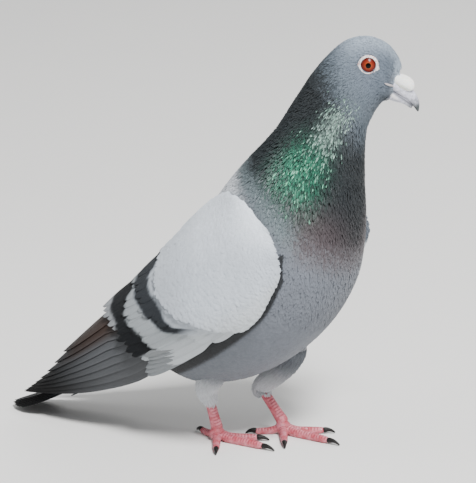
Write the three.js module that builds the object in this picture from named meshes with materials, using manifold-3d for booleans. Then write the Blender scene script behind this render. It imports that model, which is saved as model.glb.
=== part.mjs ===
// A feral rock pigeon in mid-stride, as a still, life-size museum model.
// Millimetres, +Z up. The body faces +X and its left side is +Y. While it is being
// made the floor is Z = 0 and the point between the two feet is X = Y = 0.
import * as THREE from "three";
import { mergeVertices } from "three/addons/utils/BufferGeometryUtils.js";
import Module from "manifold-3d";

const wasm = await Module();
wasm.setup();

// ---------------------------------------------------------------- driving sizes
const GAP = 0.3; // air kept between two pieces that touch
const CUT = 0.35; // how much a neighbour grows before it cuts a piece

const HEAD_AXIS_X = 67.9; // the upright axis that the head has turned about
const EYE_LEVEL = 217.3; // height of the eyes over the floor
const HEAD_TURN = 25; // degrees that the head looks to its left

// Body frames from the tail's root to the bill's base, as a boat's lines plan has them.
// Each gives its upper and lower point in the middle plane (x, z), its half width,
// how much the back is slimmer than the side, and how far it has turned with the head.
const FRAMES = [
  { name: "tail root", top: [-66, 60], low: [-57, 41], half: 14, slim: 0, turn: 0 },
  { name: "rump", top: [-56, 78], low: [-42, 35], half: 25, slim: 0.1, turn: 0 },
  { name: "vent", top: [-45, 97], low: [-24, 31.5], half: 34, slim: 0.18, turn: 0 },
  { name: "loin", top: [-33, 115], low: [1, 37], half: 40, slim: 0.2, turn: 0 },
  { name: "mid body", top: [-22, 131], low: [25, 51], half: 44, slim: 0.26, turn: 0 },
  { name: "breast", top: [-12, 145], low: [44, 70], half: 47, slim: 0.26, turn: 0 },
  { name: "shoulders", top: [-3, 156], low: [56, 91], half: 45, slim: 0.22, turn: 0 },
  { name: "neck base", top: [5, 164.5], low: [61, 110], half: 38, slim: 0.1, turn: 0 },
  { name: "crop", top: [12.5, 172.5], low: [63, 129], half: 31.5, slim: 0, turn: 0 },
  { name: "lower neck", top: [19.5, 181], low: [63.5, 147], half: 26.5, slim: 0, turn: 2 },
  { name: "mid neck", top: [26, 191], low: [64.5, 164], half: 23, slim: 0, turn: 5 },
  { name: "upper neck", top: [32, 200], low: [66.5, 178], half: 20, slim: 0, turn: 10 },
  { name: "nape", top: [38, 209], low: [70, 187], half: 17.5, slim: 0, turn: 16 },
  { name: "back of head", top: [46, 219], low: [73.5, 193], half: 16.3, slim: 0, turn: 21 },
  { name: "ears", top: [56, 227.5], low: [76, 195.8], half: 15.2, slim: 0, turn: 24 },
  { name: "crown", top: [67, 230], low: [77.8, 196.2], half: 14, slim: 0, turn: HEAD_TURN },
  { name: "brow", top: [77, 226.8], low: [79, 196.6], half: 10.8, slim: 0, turn: HEAD_TURN },
  { name: "forehead", top: [83.3, 220], low: [80, 197.2], half: 7, slim: 0, turn: HEAD_TURN },
  { name: "bill base", top: [86, 212.9], low: [81, 198.5], half: 4.7, slim: 0, turn: HEAD_TURN },
];
const NECK_BASE = 7; // frame where the torso ends
const NAPE = 12; // frame where the neck ends
const FULLNESS = 2.2; // superellipse power of every body frame

// The folded right wing's outer surface, from the wrist to the tip, at seven places:
// the lower edge, the middle of the side and the upper edge.
const WING = [
  { low: [39, -46, 104], side: [41, -49, 116], high: [32, -46.5, 131.5] },
  { low: [26.5, -49.5, 83], side: [21, -53.5, 108.5], high: [7, -35, 145] },
  { low: [0, -47.5, 62], side: [-11, -52, 93.5], high: [-21, -10, 134.5] },
  { low: [-27.5, -41, 46], side: [-42.5, -42, 74], high: [-54.5, -4.5, 102] },
  { low: [-57, -32, 32], side: [-74, -31, 52], high: [-84, -4.5, 72] },
  { low: [-93, -25, 20], side: [-104, -22, 33], high: [-113, -6, 42] },
  { low: [-132, -15, 12], side: [-134, -13.5, 14], high: [-136.5, -11, 16] },
];
const LEFT_WRIST = { forward: 5.5, out: 3.5 }; // how far the left one is held off the breast
const WING_THICK = { shoulder: 13, rear: 5, edge: 4 }; // of the wing under its feathers
const CORE_END = 3.75; // how far back the flesh of the wing reaches

// The wing's tiers hang on one line over the wing, the tips of the greater coverts,
// given here as places along the wing for five heights from lower to upper edge.
const GREATER_TIPS = [1.75, 2.4, 3, 3.33, 3.45];
const CORE_SINK = [0, -0.5, -2.2, -3.6, -4.6, -5]; // flesh under the tiers, every 0.5 along
const REAR_RISE = 3; // the primaries stand out again to the wing's own outline

const VANE_THICK = 0.55;
const LAYER = 0.85; // one vane lies this far above the next
const OVERLAP = 0.7; // half width of a vane over the distance to its neighbour

// Tiers of feathers: how many, from which to which height on the wing, tips behind
// the line of the greater coverts, length along the wing, and depth at root and tip.
const TIERS = [
  { name: "median coverts", count: 9, from: 0.1, to: 0.96, tips: -0.75, long: 0.85, root: -1.4, tip: 0.7 },
  { name: "greater coverts", count: 10, from: 0.07, to: 0.96, tips: 0, long: 1.15, root: -2.9, tip: -0.5 },
  { name: "secondaries", count: 10, from: 0.22, to: 0.96, tips: 0.66, long: 1.2, root: -4, tip: -1.8 },
];
const PRIMARY_COVERTS = {
  count: 4, from: 4, spacing: 3.6, start: 2.3, end: 3.5, half: 3.2, root: -4, tip: -0.6,
};
const PRIMARIES = {
  start: 3.1,
  first: 6.3, // the outermost lies this far over the lower edge
  half: 6.2,
  root: -6.5,
  tip: -3.4,
  tips: [5.97, 5.94, 5.82, 5.66, 5.47, 5.26, 5.02, 4.76, 4.5], // outermost to innermost
  spacing: [3.4, 4.2, 4.9, 5.3, 4.9, 4, 2.8], // from 3 to 6 along the wing, every 0.5
};

const TAIL = { rootX: -60, rootZ: 53, tipX: -149, tipZ: 3.4, sag: 4, half: 17.5 };
const TAIL_DROOP = 1.5; // how far the tail's sides hang under its middle
const TAIL_CORE = { start: -0.06, end: 0.42, half: 10, above: 0.6, below: 7.5 };
const RECTRICES = { start: 0.12, half: 6.5, layer: 0.85, tips: [1, 0.995, 0.99, 0.98, 0.96, 0.925] };
const TAIL_COVERTS = {
  above: { lanes: [-7, -2.4, 2.4, 7], start: 0.02, end: 0.56, root: -0.6, tip: 2 },
  below: { lanes: [-6.5, -2.2, 2.2, 6.5], start: 0.05, end: 0.66, root: -6, tip: -8.2 },
};

const EYE = { radius: 6, out: 9.2, ringRadius: 4.75, ringThick: 0.8 };

// Upper bill, lower bill: ridge or mouth point and its opposite (forward, up from the
// eyes' level, in the head's own middle plane) and the half width there.
const UPPER_BILL = [
  { top: [8, -7.5], low: [8, -12.6], half: 4.6 },
  { top: [14, -9], low: [13, -16], half: 4.8 },
  { top: [19.5, -11.5], low: [17, -18.8], half: 4.4 },
  { top: [23.4, -15.2], low: [20.3, -21.1], half: 3.4 },
  { top: [25.7, -18.8], low: [22.6, -23], half: 2.6 },
  { top: [27, -22.6], low: [24.6, -25.2], half: 1.8 },
  { top: [26.9, -26.8], low: [26.1, -27.4], half: 0.6 },
];
const LOWER_BILL = [
  { top: [7.5, -13], low: [7.5, -18], half: 4.4 },
  { top: [13.1, -15.4], low: [11.5, -20.8], half: 4.2 },
  { top: [17.3, -18.3], low: [15.8, -22.2], half: 3.8 },
  { top: [20.8, -20.7], low: [19.4, -23.4], half: 2.9 },
  { top: [23.7, -23.8], low: [22.9, -25.8], half: 1.7 },
];
const GAPE = { forward: 10.2, up: -13.4, long: 7.5, slope: -43, tall: 0.5, from: 5.6 };
const NOSTRIL = { forward: 21.4, side: 3.6, up: -15, long: 2.3, wide: 1.6, high: 0.5, slope: -35 };
const CERE = { forward: 18.4, up: -11.4, apart: 2.6, long: 6.2, wide: 3, high: 3.4, slope: -27 };

// Each leg: knee, shin, hock, the cuff where its feathers end, the ankle where the toes
// meet, the feathered leg's radii at the first four, and each toe's way over the floor in
// degrees from the body's heading, anticlockwise from above.
const LEGS = {
  right: {
    knee: [1, -20, 66],
    shin: [-12, -16, 45],
    hock: [-20.8, -13, 31],
    cuff: [-19.7, -10.8, 20.5],
    ankle: [-17, -8.5, 6.6],
    radii: [10, 7.6, 6.2, 4],
    toes: { inner: 22, middle: -8, outer: -64, hind: 150 },
  },
  left: {
    knee: [20, 17, 65],
    shin: [12.5, 19.5, 42],
    hock: [-2.6, 17.5, 25.6],
    cuff: [0.2, 17.2, 20.8],
    ankle: [10.3, 18, 6.6],
    radii: [10, 7, 5.2, 4],
    toes: { inner: -62, middle: -10, outer: 28, hind: -151 },
  },
};
const TOE_LENGTH = { inner: 17.8, middle: 26, outer: 18, hind: 11 };
const TOE_RADIUS = { inner: 2.4, middle: 2.6, outer: 2.4, hind: 2.2 };
const CLAW_LENGTH = { inner: 6.3, middle: 7.4, outer: 6, hind: 5.2 };
const BALL_RADIUS = 4.4;

// ---------------------------------------------------------------- finishes
const paint = (color, roughness, metalness = 0) =>
  new THREE.MeshStandardMaterial({ color, roughness, metalness });
const FINISH = {
  body: paint(0x77767f, 0.85),
  neck: paint(0x4d5a58, 0.55, 0.2),
  head: paint(0x62676f, 0.85),
  wing: paint(0xb4b5b8, 0.8),
  tail: paint(0x4a4c52, 0.8),
  thigh: paint(0x9a9aa0, 0.9),
  leg: paint(0xa5504a, 0.6),
  claw: paint(0x1d1a1a, 0.4),
  bill: paint(0x4c4644, 0.45),
  cere: paint(0xcfc9c4, 0.8),
  eye: paint(0xb5441c, 0.1),
};

// ---------------------------------------------------------------- solids
// Small differences between like pieces, the same on every run.
let seed = 7;
function ragged(spread) {
  seed = (seed * 16807) % 2147483647;
  return spread * ((2 * seed) / 2147483647 - 1);
}

const clamp = THREE.MathUtils.clamp;
const lerp = THREE.MathUtils.lerp;
const smooth = THREE.MathUtils.smoothstep;
const radians = THREE.MathUtils.degToRad;

// A three.js geometry as a manifold solid, with its faces turned out.
function solid(geometry) {
  const bare = geometry.clone();
  bare.deleteAttribute("normal");
  bare.deleteAttribute("uv");
  const merged = mergeVertices(bare, 1e-4);
  const mesh = {
    numProp: 3,
    vertProperties: merged.attributes.position.array,
    triVerts: new Uint32Array(merged.index.array),
  };
  const made = new wasm.Manifold(new wasm.Mesh(mesh));
  if (made.volume() > 0) return made;
  mesh.triVerts.reverse();
  return new wasm.Manifold(new wasm.Mesh(mesh));
}

function geometryOf(made) {
  const mesh = made.getMesh();
  const geometry = new THREE.BufferGeometry();
  geometry.setAttribute("position", new THREE.BufferAttribute(mesh.vertProperties, 3));
  geometry.setIndex(new THREE.BufferAttribute(mesh.triVerts, 1));
  geometry.computeVertexNormals();
  return geometry;
}

// What a union or a cut leaves over is dropped: the largest closed surface is the piece.
function largest(made) {
  const pieces = made.decompose().sort((a, b) => b.volume() - a.volume());
  return pieces[0];
}

function closedFrom(points, faces) {
  const geometry = new THREE.BufferGeometry().setFromPoints(points);
  geometry.setIndex(faces);
  return solid(geometry);
}

// A closed skin over rings of points, each ring with the same count, capped flat.
function skin(rings) {
  const around = rings[0].length;
  const points = rings.flat();
  const faces = [];
  for (let i = 0; i < rings.length - 1; i++) {
    for (let j = 0; j < around; j++) {
      const a = i * around + j;
      const b = i * around + ((j + 1) % around);
      faces.push(a, b, b + around, a, b + around, a + around);
    }
  }
  for (const end of [0, rings.length - 1]) {
    const middle = points.length;
    const centre = new THREE.Vector3();
    rings[end].forEach((p) => centre.addScaledVector(p, 1 / around));
    points.push(centre);
    for (let j = 0; j < around; j++) {
      const a = end * around + j;
      const b = end * around + ((j + 1) % around);
      faces.push(...(end ? [middle, a, b] : [middle, b, a]));
    }
  }
  return closedFrom(points, faces);
}

// A thin closed leaf: rows of points on its upper face and the same on its lower face,
// both split into triangles along the same diagonals.
function leaf(upper, lower) {
  const rows = upper.length;
  const across = upper[0].length;
  const points = [...upper.flat(), ...lower.flat()];
  const under = rows * across;
  const faces = [];
  for (let i = 0; i < rows - 1; i++) {
    for (let j = 0; j < across - 1; j++) {
      const a = i * across + j;
      const [b, c, d] = [a + 1, a + across + 1, a + across];
      faces.push(a, b, c, a, c, d);
      faces.push(under + a, under + c, under + b, under + a, under + d, under + c);
    }
  }
  const rim = [];
  for (let j = 0; j < across - 1; j++) rim.push(j);
  for (let i = 0; i < rows - 1; i++) rim.push(i * across + across - 1);
  for (let j = across - 1; j > 0; j--) rim.push((rows - 1) * across + j);
  for (let i = rows - 1; i > 0; i--) rim.push(i * across);
  rim.forEach((a, k) => {
    const b = rim[(k + 1) % rim.length];
    faces.push(a, under + b, b, a, under + a, under + b);
  });
  return closedFrom(points, faces);
}

// Catmull-Rom through values spaced evenly in t.
function through(values, t) {
  const last = values.length - 1;
  const i = clamp(Math.floor(t), 0, last - 1);
  const u = t - i;
  const b = values[i];
  const c = values[i + 1];
  const a = i > 0 ? values[i - 1] : 2 * b - c;
  const d = i + 2 <= last ? values[i + 2] : 2 * c - b;
  return b + 0.5 * u * (c - a + u * (2 * a - 5 * b + 4 * c - d + u * (3 * (b - c) + d - a)));
}

const throughPoints = (list, t) =>
  new THREE.Vector3(...[0, 1, 2].map((k) => through(list.map((p) => p[k]), t)));

function tube(points, radii, sides) {
  const curve = points.map((p) => new THREE.Vector3(...p));
  const rings = curve.map((p, i) => {
    const ahead = curve[Math.min(i + 1, curve.length - 1)];
    const along = ahead.clone().sub(curve[Math.max(i - 1, 0)]).normalize();
    const side = new THREE.Vector3(0, 0, 1).cross(along);
    if (side.length() < 0.3) side.set(0, 1, 0);
    side.normalize();
    const up = along.clone().cross(side);
    return Array.from({ length: sides }, (_, j) => {
      const angle = (2 * Math.PI * (j + 0.5)) / sides;
      return p
        .clone()
        .addScaledVector(side, radii[i] * Math.cos(angle))
        .addScaledVector(up, radii[i] * Math.sin(angle));
    });
  });
  return skin(rings);
}

// ---------------------------------------------------------------- body
const turned = (x, y, z, degrees) => {
  const a = radians(degrees);
  const dx = x - HEAD_AXIS_X;
  return new THREE.Vector3(
    HEAD_AXIS_X + dx * Math.cos(a) - y * Math.sin(a),
    dx * Math.sin(a) + y * Math.cos(a),
    z,
  );
};
const frameAt = (pick, t) => through(FRAMES.map(pick), t);

// A point on the body's surface: frame t, angle from the left side over the back,
// grown outwards by a margin.
function bodyPoint(t, angle, margin = 0) {
  const topX = frameAt((f) => f.top[0], t);
  const topZ = frameAt((f) => f.top[1], t);
  const lowX = frameAt((f) => f.low[0], t);
  const lowZ = frameAt((f) => f.low[1], t);
  const height = Math.hypot(topX - lowX, topZ - lowZ);
  const grown = 1 + (2 * margin) / height;
  const rounded = (v) => Math.sign(v) * Math.abs(v) ** (2 / FULLNESS);
  const up = (rounded(Math.sin(angle)) * grown) / 2;
  const slim = 1 - frameAt((f) => f.slim, t) * Math.max(0, Math.sin(angle));
  const y = rounded(Math.cos(angle)) * (frameAt((f) => f.half, t) * slim + margin);
  const x = (topX + lowX) / 2 + up * (topX - lowX);
  const z = (topZ + lowZ) / 2 + up * (topZ - lowZ);
  return turned(x, y, z, frameAt((f) => f.turn, t));
}

function bodyRing(t, sides, margin, slide) {
  const ring = Array.from({ length: sides }, (_, j) =>
    bodyPoint(t, (2 * Math.PI * j) / sides, margin),
  );
  if (slide) {
    const quarter = sides / 4;
    const across = ring[0].clone().sub(ring[2 * quarter]);
    const upward = ring[quarter].clone().sub(ring[3 * quarter]);
    const ahead = across.cross(upward).normalize().multiplyScalar(slide);
    ring.forEach((p) => p.add(ahead));
  }
  return ring;
}

// A length of the body between two frames. Its ends slide by half the gap, so that
// neighbouring lengths meet face to face.
function bodyLength(from, to, steps, sides, margin = 0) {
  const rings = [];
  for (let i = 0; i <= steps; i++) {
    const slide = i === 0 ? GAP / 2 : i === steps ? -GAP / 2 : 0;
    const t = lerp(from, to, i / steps);
    rings.push(bodyRing(t, sides, margin, margin ? -2 * slide : slide));
  }
  return skin(rings);
}

// ---------------------------------------------------------------- head pieces
const headPoint = (forward, side, up) =>
  turned(HEAD_AXIS_X + forward, side, EYE_LEVEL + up, HEAD_TURN);

function ball(centre, radii, detail = 12, slope = 0) {
  const sphere = new THREE.SphereGeometry(1, detail, detail / 2);
  sphere.scale(...radii);
  sphere.rotateY(radians(-slope));
  sphere.rotateZ(radians(HEAD_TURN));
  sphere.translate(centre.x, centre.y, centre.z);
  return solid(sphere);
}

function billPiece(rows, margin = 0, sides = 12) {
  const steps = 2 * (rows.length - 1);
  const rings = [];
  for (let i = 0; i <= steps; i++) {
    const t = i / 2;
    const at = (pick) => through(rows.map(pick), t);
    const top = [at((r) => r.top[0]), at((r) => r.top[1])];
    const low = [at((r) => r.low[0]), at((r) => r.low[1])];
    const grown = 1 + (2 * margin) / Math.hypot(top[0] - low[0], top[1] - low[1]);
    const half = at((r) => r.half) + margin;
    rings.push(
      Array.from({ length: sides }, (_, j) => {
        const angle = (2 * Math.PI * j) / sides;
        const up = (Math.sin(angle) * grown) / 2;
        return headPoint(
          (top[0] + low[0]) / 2 + up * (top[0] - low[0]),
          half * Math.cos(angle),
          (top[1] + low[1]) / 2 + up * (top[1] - low[1]),
        );
      }),
    );
  }
  return skin(rings);
}

function cereLobes() {
  const lobe = (side) =>
    ball(
      headPoint(CERE.forward, side * CERE.apart, CERE.up),
      [CERE.long, CERE.wide, CERE.high],
      10,
      CERE.slope,
    );
  return lobe(1).add(lobe(-1));
}

function eyeBall(side, margin = 0, detail = 14) {
  const r = EYE.radius + margin;
  return ball(headPoint(0, side * EYE.out, 0), [r, r, r], detail);
}

// A block in the head's own directions, for the cuts at the mouth.
function headBlock(forward, side, up, size, slope) {
  const block = new THREE.BoxGeometry(...size);
  block.rotateY(radians(-slope));
  block.rotateZ(radians(HEAD_TURN));
  const at = headPoint(forward, side, up);
  block.translate(at.x, at.y, at.z);
  return solid(block);
}

// The corner of the mouth runs back into the cheek as a shallow line.
function gapeLine(side) {
  const deep = 12;
  const size = [GAPE.long, deep, GAPE.tall];
  return headBlock(GAPE.forward, side * (GAPE.from + deep / 2), GAPE.up, size, GAPE.slope);
}

function nostril(side) {
  const { forward, up, long, wide, high, slope } = NOSTRIL;
  return ball(headPoint(forward, side * NOSTRIL.side, up), [long, wide, high], 8, slope);
}

function lidRing(side) {
  const ring = new THREE.TorusGeometry(EYE.ringRadius, EYE.ringThick, 5, 16);
  ring.rotateX(Math.PI / 2);
  ring.rotateZ(radians(HEAD_TURN));
  const reach = Math.sqrt(EYE.radius ** 2 - EYE.ringRadius ** 2);
  const at = headPoint(0, side * (EYE.out + reach + EYE.ringThick), 0);
  ring.translate(at.x, at.y, at.z);
  return solid(ring);
}

// ---------------------------------------------------------------- wings and tail
// The left wing is held a little off the breast.
function onSide(p, side) {
  const held = side < 0 ? smooth(p.x, -20, 45) : 0;
  const { forward, out } = LEFT_WRIST;
  return new THREE.Vector3(p.x + forward * held, side * (p.y - out * held), p.z);
}

// A point on the folded wing: a runs from the wrist (0) to the tip (6), b from the
// lower edge (0) over the side to the upper edge (1), and depth goes in towards the body.
function wingSurface(a, b) {
  const low = throughPoints(WING.map((w) => w.low), a);
  const side = throughPoints(WING.map((w) => w.side), a);
  const high = throughPoints(WING.map((w) => w.high), a);
  const bulge = side.sub(low.clone().add(high).multiplyScalar(0.5));
  return low.lerp(high, b).addScaledVector(bulge, 4 * b * (1 - b));
}

function wingNormal(a, b) {
  const step = 0.02;
  const along = wingSurface(Math.min(a + step, 6), b).sub(wingSurface(Math.max(a - step, 0), b));
  const up = wingSurface(a, Math.min(b + step, 1)).sub(wingSurface(a, Math.max(b - step, 0)));
  return up.cross(along).normalize();
}

const wingPoint = (a, b, depth) => wingSurface(a, b).addScaledVector(wingNormal(a, b), -depth);

// Length of the wing's surface from lower to upper edge.
function wingHeight(a) {
  let height = 0;
  const steps = 8;
  for (let i = 0; i < steps; i++) {
    height += wingSurface(a, i / steps).distanceTo(wingSurface(a, (i + 1) / steps));
  }
  return height;
}

const greaterTips = (b) => through(GREATER_TIPS, clamp(b, 0, 1) * (GREATER_TIPS.length - 1));
const rearRise = (a) => REAR_RISE * smooth(a, 2.9, 4.4);

// Depth of the wing's flesh: it sinks in under the tiers of feathers.
function coreDepth(a, b) {
  const behind = a - greaterTips(b);
  return -through(CORE_SINK, clamp((behind + 1.5) / 0.5, 0, CORE_SINK.length - 1));
}

function wingCore(side) {
  const upper = [];
  const lower = [];
  const steps = 14;
  const across = 7;
  for (let i = 0; i <= steps; i++) {
    const a = (CORE_END * i) / steps;
    const full = lerp(WING_THICK.shoulder, WING_THICK.rear, smooth(a, 1.2, 3.2));
    const upperRow = [];
    const lowerRow = [];
    for (let j = 0; j <= across; j++) {
      const b = j / across;
      const inland = Math.min(1, 5 * b, 5 * (1 - b), 2.5 * a);
      const roll = (WING_THICK.edge / 3) * (1 - inland) ** 2;
      const thick = Math.min(full, lerp(WING_THICK.edge, full, inland));
      const top = coreDepth(a, b) + roll;
      upperRow.push(onSide(wingPoint(a, b, top), side));
      lowerRow.push(onSide(wingPoint(a, b, top + thick - 1.5 * roll), side));
    }
    upper.push(upperRow);
    lower.push(lowerRow);
  }
  return leaf(upper, lower);
}

// A feather's vane from root to tip on a surface. The shape gives, root to tip, how far
// along each row lies and its share of the half width; place sets a point by its way
// along, its way across the vane and its height over the vane's own plane.
function vane(shape, place) {
  const row = (s, wide, rise) => [place(s, -wide, rise), place(s, wide, rise)];
  const upper = shape.map(([s, wide]) => row(s, wide, 0));
  const lower = shape.map(([s, wide]) => row(s, wide, -VANE_THICK));
  return leaf(upper, lower);
}
const SHORT_VANE = [[0, 0.6], [0.5, 1], [0.85, 0.85], [1, 0.2]];
const LONG_VANE = [[0, 0.6], [0.35, 1], [0.75, 0.95], [0.94, 0.55], [1, 0.16]];
const PRIMARY_VANE = [[0, 0.5], [0.3, 1], [0.62, 0.95], [0.85, 0.7], [0.97, 0.36], [1, 0.1]];

// A vane on the wing. Its near edge lies over the vane below it, as tiles on a roof.
function wingVane(side, shape, { start, end, lane, half, spacing, root, tip }) {
  return vane(shape, (s, share, rise) => {
    const a = lerp(start, end, s);
    const across = share * half(a);
    const tilt = (LAYER / spacing(a)) * across;
    const height = lerp(root, tip, s) - tilt + rise + rearRise(a);
    return onSide(wingPoint(a, (lane(a) + across) / wingHeight(a), -height), side);
  });
}

function* tierVanes(side, tier) {
  const step = (tier.to - tier.from) / (tier.count - 1);
  for (let k = 0; k < tier.count; k++) {
    const b = tier.from + k * step;
    const end = greaterTips(b) + tier.tips + ragged(0.05);
    const spacing = (a) => step * wingHeight(a);
    yield wingVane(side, tier.long > 1.1 ? LONG_VANE : SHORT_VANE, {
      start: end - tier.long,
      end,
      lane: (a) => b * wingHeight(a),
      half: (a) => OVERLAP * spacing(a),
      spacing,
      root: tier.root,
      tip: tier.tip,
    });
  }
}

function* primaryVanes(side) {
  const { start, first, half, root, tip, tips } = PRIMARIES;
  const spacing = (a) => through(PRIMARIES.spacing, clamp((a - 3) / 0.5, 0, 6));
  for (let k = 0; k < tips.length; k++) {
    const lane = (a) => first + k * spacing(a);
    yield wingVane(side, PRIMARY_VANE, {
      start, end: tips[k], lane, half: () => half, spacing, root, tip,
    });
  }
  const coverts = PRIMARY_COVERTS;
  for (let k = 0; k < coverts.count; k++) {
    yield wingVane(side, SHORT_VANE, {
      start: coverts.start,
      end: coverts.end - 0.06 * k + ragged(0.04),
      lane: () => coverts.from + k * coverts.spacing,
      half: () => coverts.half,
      spacing: () => coverts.spacing,
      root: coverts.root,
      tip: coverts.tip,
    });
  }
}

function wing(side) {
  let made = wingCore(side);
  for (const tier of TIERS) for (const one of tierVanes(side, tier)) made = made.add(one);
  for (const one of primaryVanes(side)) made = made.add(one);
  return made;
}

// A point on the folded tail: s runs from the root (0) to the tip (1), y to the left,
// and rise stands up from it.
function tailPoint(s, y, rise) {
  const along = new THREE.Vector2(TAIL.tipX - TAIL.rootX, TAIL.tipZ - TAIL.rootZ).normalize();
  const up = rise - TAIL_DROOP * (y / TAIL.half) ** 2 - 4 * TAIL.sag * s * (1 - s);
  const x = lerp(TAIL.rootX, TAIL.tipX, s) + up * along.y;
  return new THREE.Vector3(x, y, lerp(TAIL.rootZ, TAIL.tipZ, s) - up * along.x);
}

function tailCore() {
  const { start, end, half, above, below } = TAIL_CORE;
  const rings = [];
  const steps = 4;
  const sides = 12;
  for (let i = 0; i <= steps; i++) {
    const s = lerp(start, end, i / steps);
    const ring = [];
    for (let j = 0; j < sides; j++) {
      const angle = (2 * Math.PI * j) / sides;
      const up = Math.sin(angle);
      const rise = (above - below) / 2 + (up * (above + below) * lerp(1, 0.8, i / steps)) / 2;
      ring.push(tailPoint(s, half * Math.cos(angle), rise));
    }
    rings.push(ring);
  }
  return skin(rings);
}

// Tail feathers lie in two stacks under the middle pair, each outer one lower down.
function* rectrixVanes() {
  const { start, half, layer: step, tips } = RECTRICES;
  for (const side of [-1, 1]) {
    for (let k = 0; k < tips.length; k++) {
      const top = side < 0 && k === 0;
      const layer = side < 0 ? k : k + 1;
      const end = tips[k] + ragged(0.004);
      yield vane(LONG_VANE, (s, share, rise) => {
        const along = lerp(start, end, s);
        const spread = lerp(0.55, 1, along);
        const lane = spread * (3 + ((TAIL.half - half - 3) * k) / (tips.length - 1));
        const free = Math.abs(share) * half;
        const inner = top ? lane - free : Math.max(0.2, lane - free);
        const y = side * (side * share > 0 ? lane + free : inner);
        return tailPoint(along, y, rise - layer * step);
      });
    }
  }
}

function* tailCovertVanes() {
  for (const [under, coverts] of [[1, TAIL_COVERTS.above], [-1, TAIL_COVERTS.below]]) {
    for (const lane of coverts.lanes) {
      const end = coverts.end - 0.006 * Math.abs(lane) + ragged(0.01);
      yield vane(SHORT_VANE, (s, share, rise) => {
        const height = lerp(coverts.root, coverts.tip, s) - under * 0.2 * Math.abs(lane);
        return tailPoint(lerp(coverts.start, end, s), lane + share * 4, height + rise);
      });
    }
  }
}

function tail() {
  let made = tailCore();
  for (const one of rectrixVanes()) made = made.add(one);
  for (const one of tailCovertVanes()) made = made.add(one);
  return made;
}

// ---------------------------------------------------------------- legs
const aboveFloor = (made) => {
  const slab = new THREE.BoxGeometry(600, 600, 100);
  slab.translate(0, 0, -50);
  return made.subtract(solid(slab));
};

function thigh(leg, margin = 0) {
  const [atKnee, atShin, atHock, atCuff] = leg.radii.map((r) => r + margin);
  const shin = [leg.knee, leg.shin, leg.hock];
  const steps = 5;
  const places = Array.from({ length: steps + 1 }, (_, i) => (2 * i) / steps);
  const points = places.map((t) => throughPoints(shin, t).toArray());
  const radii = places.map((t) => through([atKnee, atShin, atHock], t));
  const joint = new THREE.SphereGeometry(atHock, 10, 6);
  joint.translate(...leg.hock);
  const cuff = tube([leg.hock, leg.cuff], [atHock, atCuff], 10);
  return tube(points, radii, 10).add(solid(joint)).add(cuff);
}

function footBall(leg, margin = 0) {
  const foot = new THREE.SphereGeometry(1, 10, 7);
  const r = BALL_RADIUS + margin;
  foot.scale(r, r, r * 0.9);
  foot.translate(leg.ankle[0], leg.ankle[1], BALL_RADIUS * 0.85);
  return solid(foot);
}

function tarsus(leg, margin = 0) {
  const steps = 5;
  const intoThigh = -0.15 - margin / 20;
  const points = [];
  const radii = [];
  for (let i = 0; i <= steps; i++) {
    const s = lerp(intoThigh, 1, i / steps);
    points.push([0, 1, 2].map((n) => lerp(leg.cuff[n], leg.ankle[n], s)));
    radii.push(3 + 0.7 * s ** 3 + margin);
  }
  return tube(points, radii, 10);
}

function toePath(leg, name, from, to, steps) {
  const heading = radians(leg.toes[name]);
  const reach = TOE_LENGTH[name] + BALL_RADIUS;
  const points = [];
  for (let i = 0; i <= steps; i++) {
    const s = lerp(from, to, i / steps);
    const out = s * reach;
    const z = TOE_RADIUS[name] * 0.8 + 3 * Math.max(0, 1 - out / 10) ** 2;
    points.push([leg.ankle[0] + out * Math.cos(heading), leg.ankle[1] + out * Math.sin(heading), z]);
  }
  return points;
}

function toe(leg, name, margin = 0) {
  const steps = 4;
  const points = toePath(leg, name, 0.1, 1, steps);
  const radii = points.map((_, i) => {
    const s = i / steps;
    return TOE_RADIUS[name] * (1 - 0.3 * s) + margin;
  });
  return tube(points, radii, 8);
}

function claw(leg, name) {
  const heading = radians(leg.toes[name]);
  const start = TOE_LENGTH[name] + BALL_RADIUS + GAP;
  const long = CLAW_LENGTH[name];
  const points = [];
  const radii = [];
  const steps = 4;
  for (let i = 0; i <= steps; i++) {
    const s = i / steps;
    const out = start + long * s;
    const drop = 1.3 * s * s;
    points.push([
      leg.ankle[0] + out * Math.cos(heading),
      leg.ankle[1] + out * Math.sin(heading),
      1.9 + 0.6 * Math.sin(Math.PI * s) - drop,
    ]);
    radii.push(lerp(1.45, 0.35, s));
  }
  return aboveFloor(tube(points, radii, 6));
}

// ---------------------------------------------------------------- assembly
const BODY_SIDES = 28;
const pieces = {};
const put = (name, made, material) => {
  pieces[name] = { made, material };
};

const torso = bodyLength(0, NECK_BASE, 12, BODY_SIDES);
const torsoGrown = bodyLength(0, NECK_BASE, 12, BODY_SIDES, CUT);
const neckGrown = bodyLength(NECK_BASE, NAPE, 9, BODY_SIDES, CUT);
put("torso", torso, FINISH.body);
put("neck", bodyLength(NECK_BASE, NAPE, 9, BODY_SIDES), FINISH.neck);

const wholeHead = bodyLength(NAPE, FRAMES.length - 1, 12, BODY_SIDES);
const headGrown = bodyLength(NAPE, FRAMES.length - 1, 12, BODY_SIDES, CUT);
let head = wholeHead;
for (const rows of [UPPER_BILL, LOWER_BILL]) head = head.subtract(billPiece(rows, CUT));
for (const [name, side] of [["eye_left", 1], ["eye_right", -1]]) {
  head = head.add(lidRing(side)).subtract(eyeBall(side, CUT)).subtract(gapeLine(side));
  put(name, eyeBall(side), FINISH.eye);
}
put("head", largest(head), FINISH.head);
const upperBill = billPiece(UPPER_BILL);
put("upper_bill", upperBill, FINISH.bill);
put("lower_bill", billPiece(LOWER_BILL).subtract(billPiece(UPPER_BILL, CUT)), FINISH.bill);
let cere = cereLobes().subtract(headGrown).subtract(billPiece(UPPER_BILL, CUT));
for (const side of [1, -1]) cere = cere.subtract(nostril(side));
put("cere", largest(cere), FINISH.cere);

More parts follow.
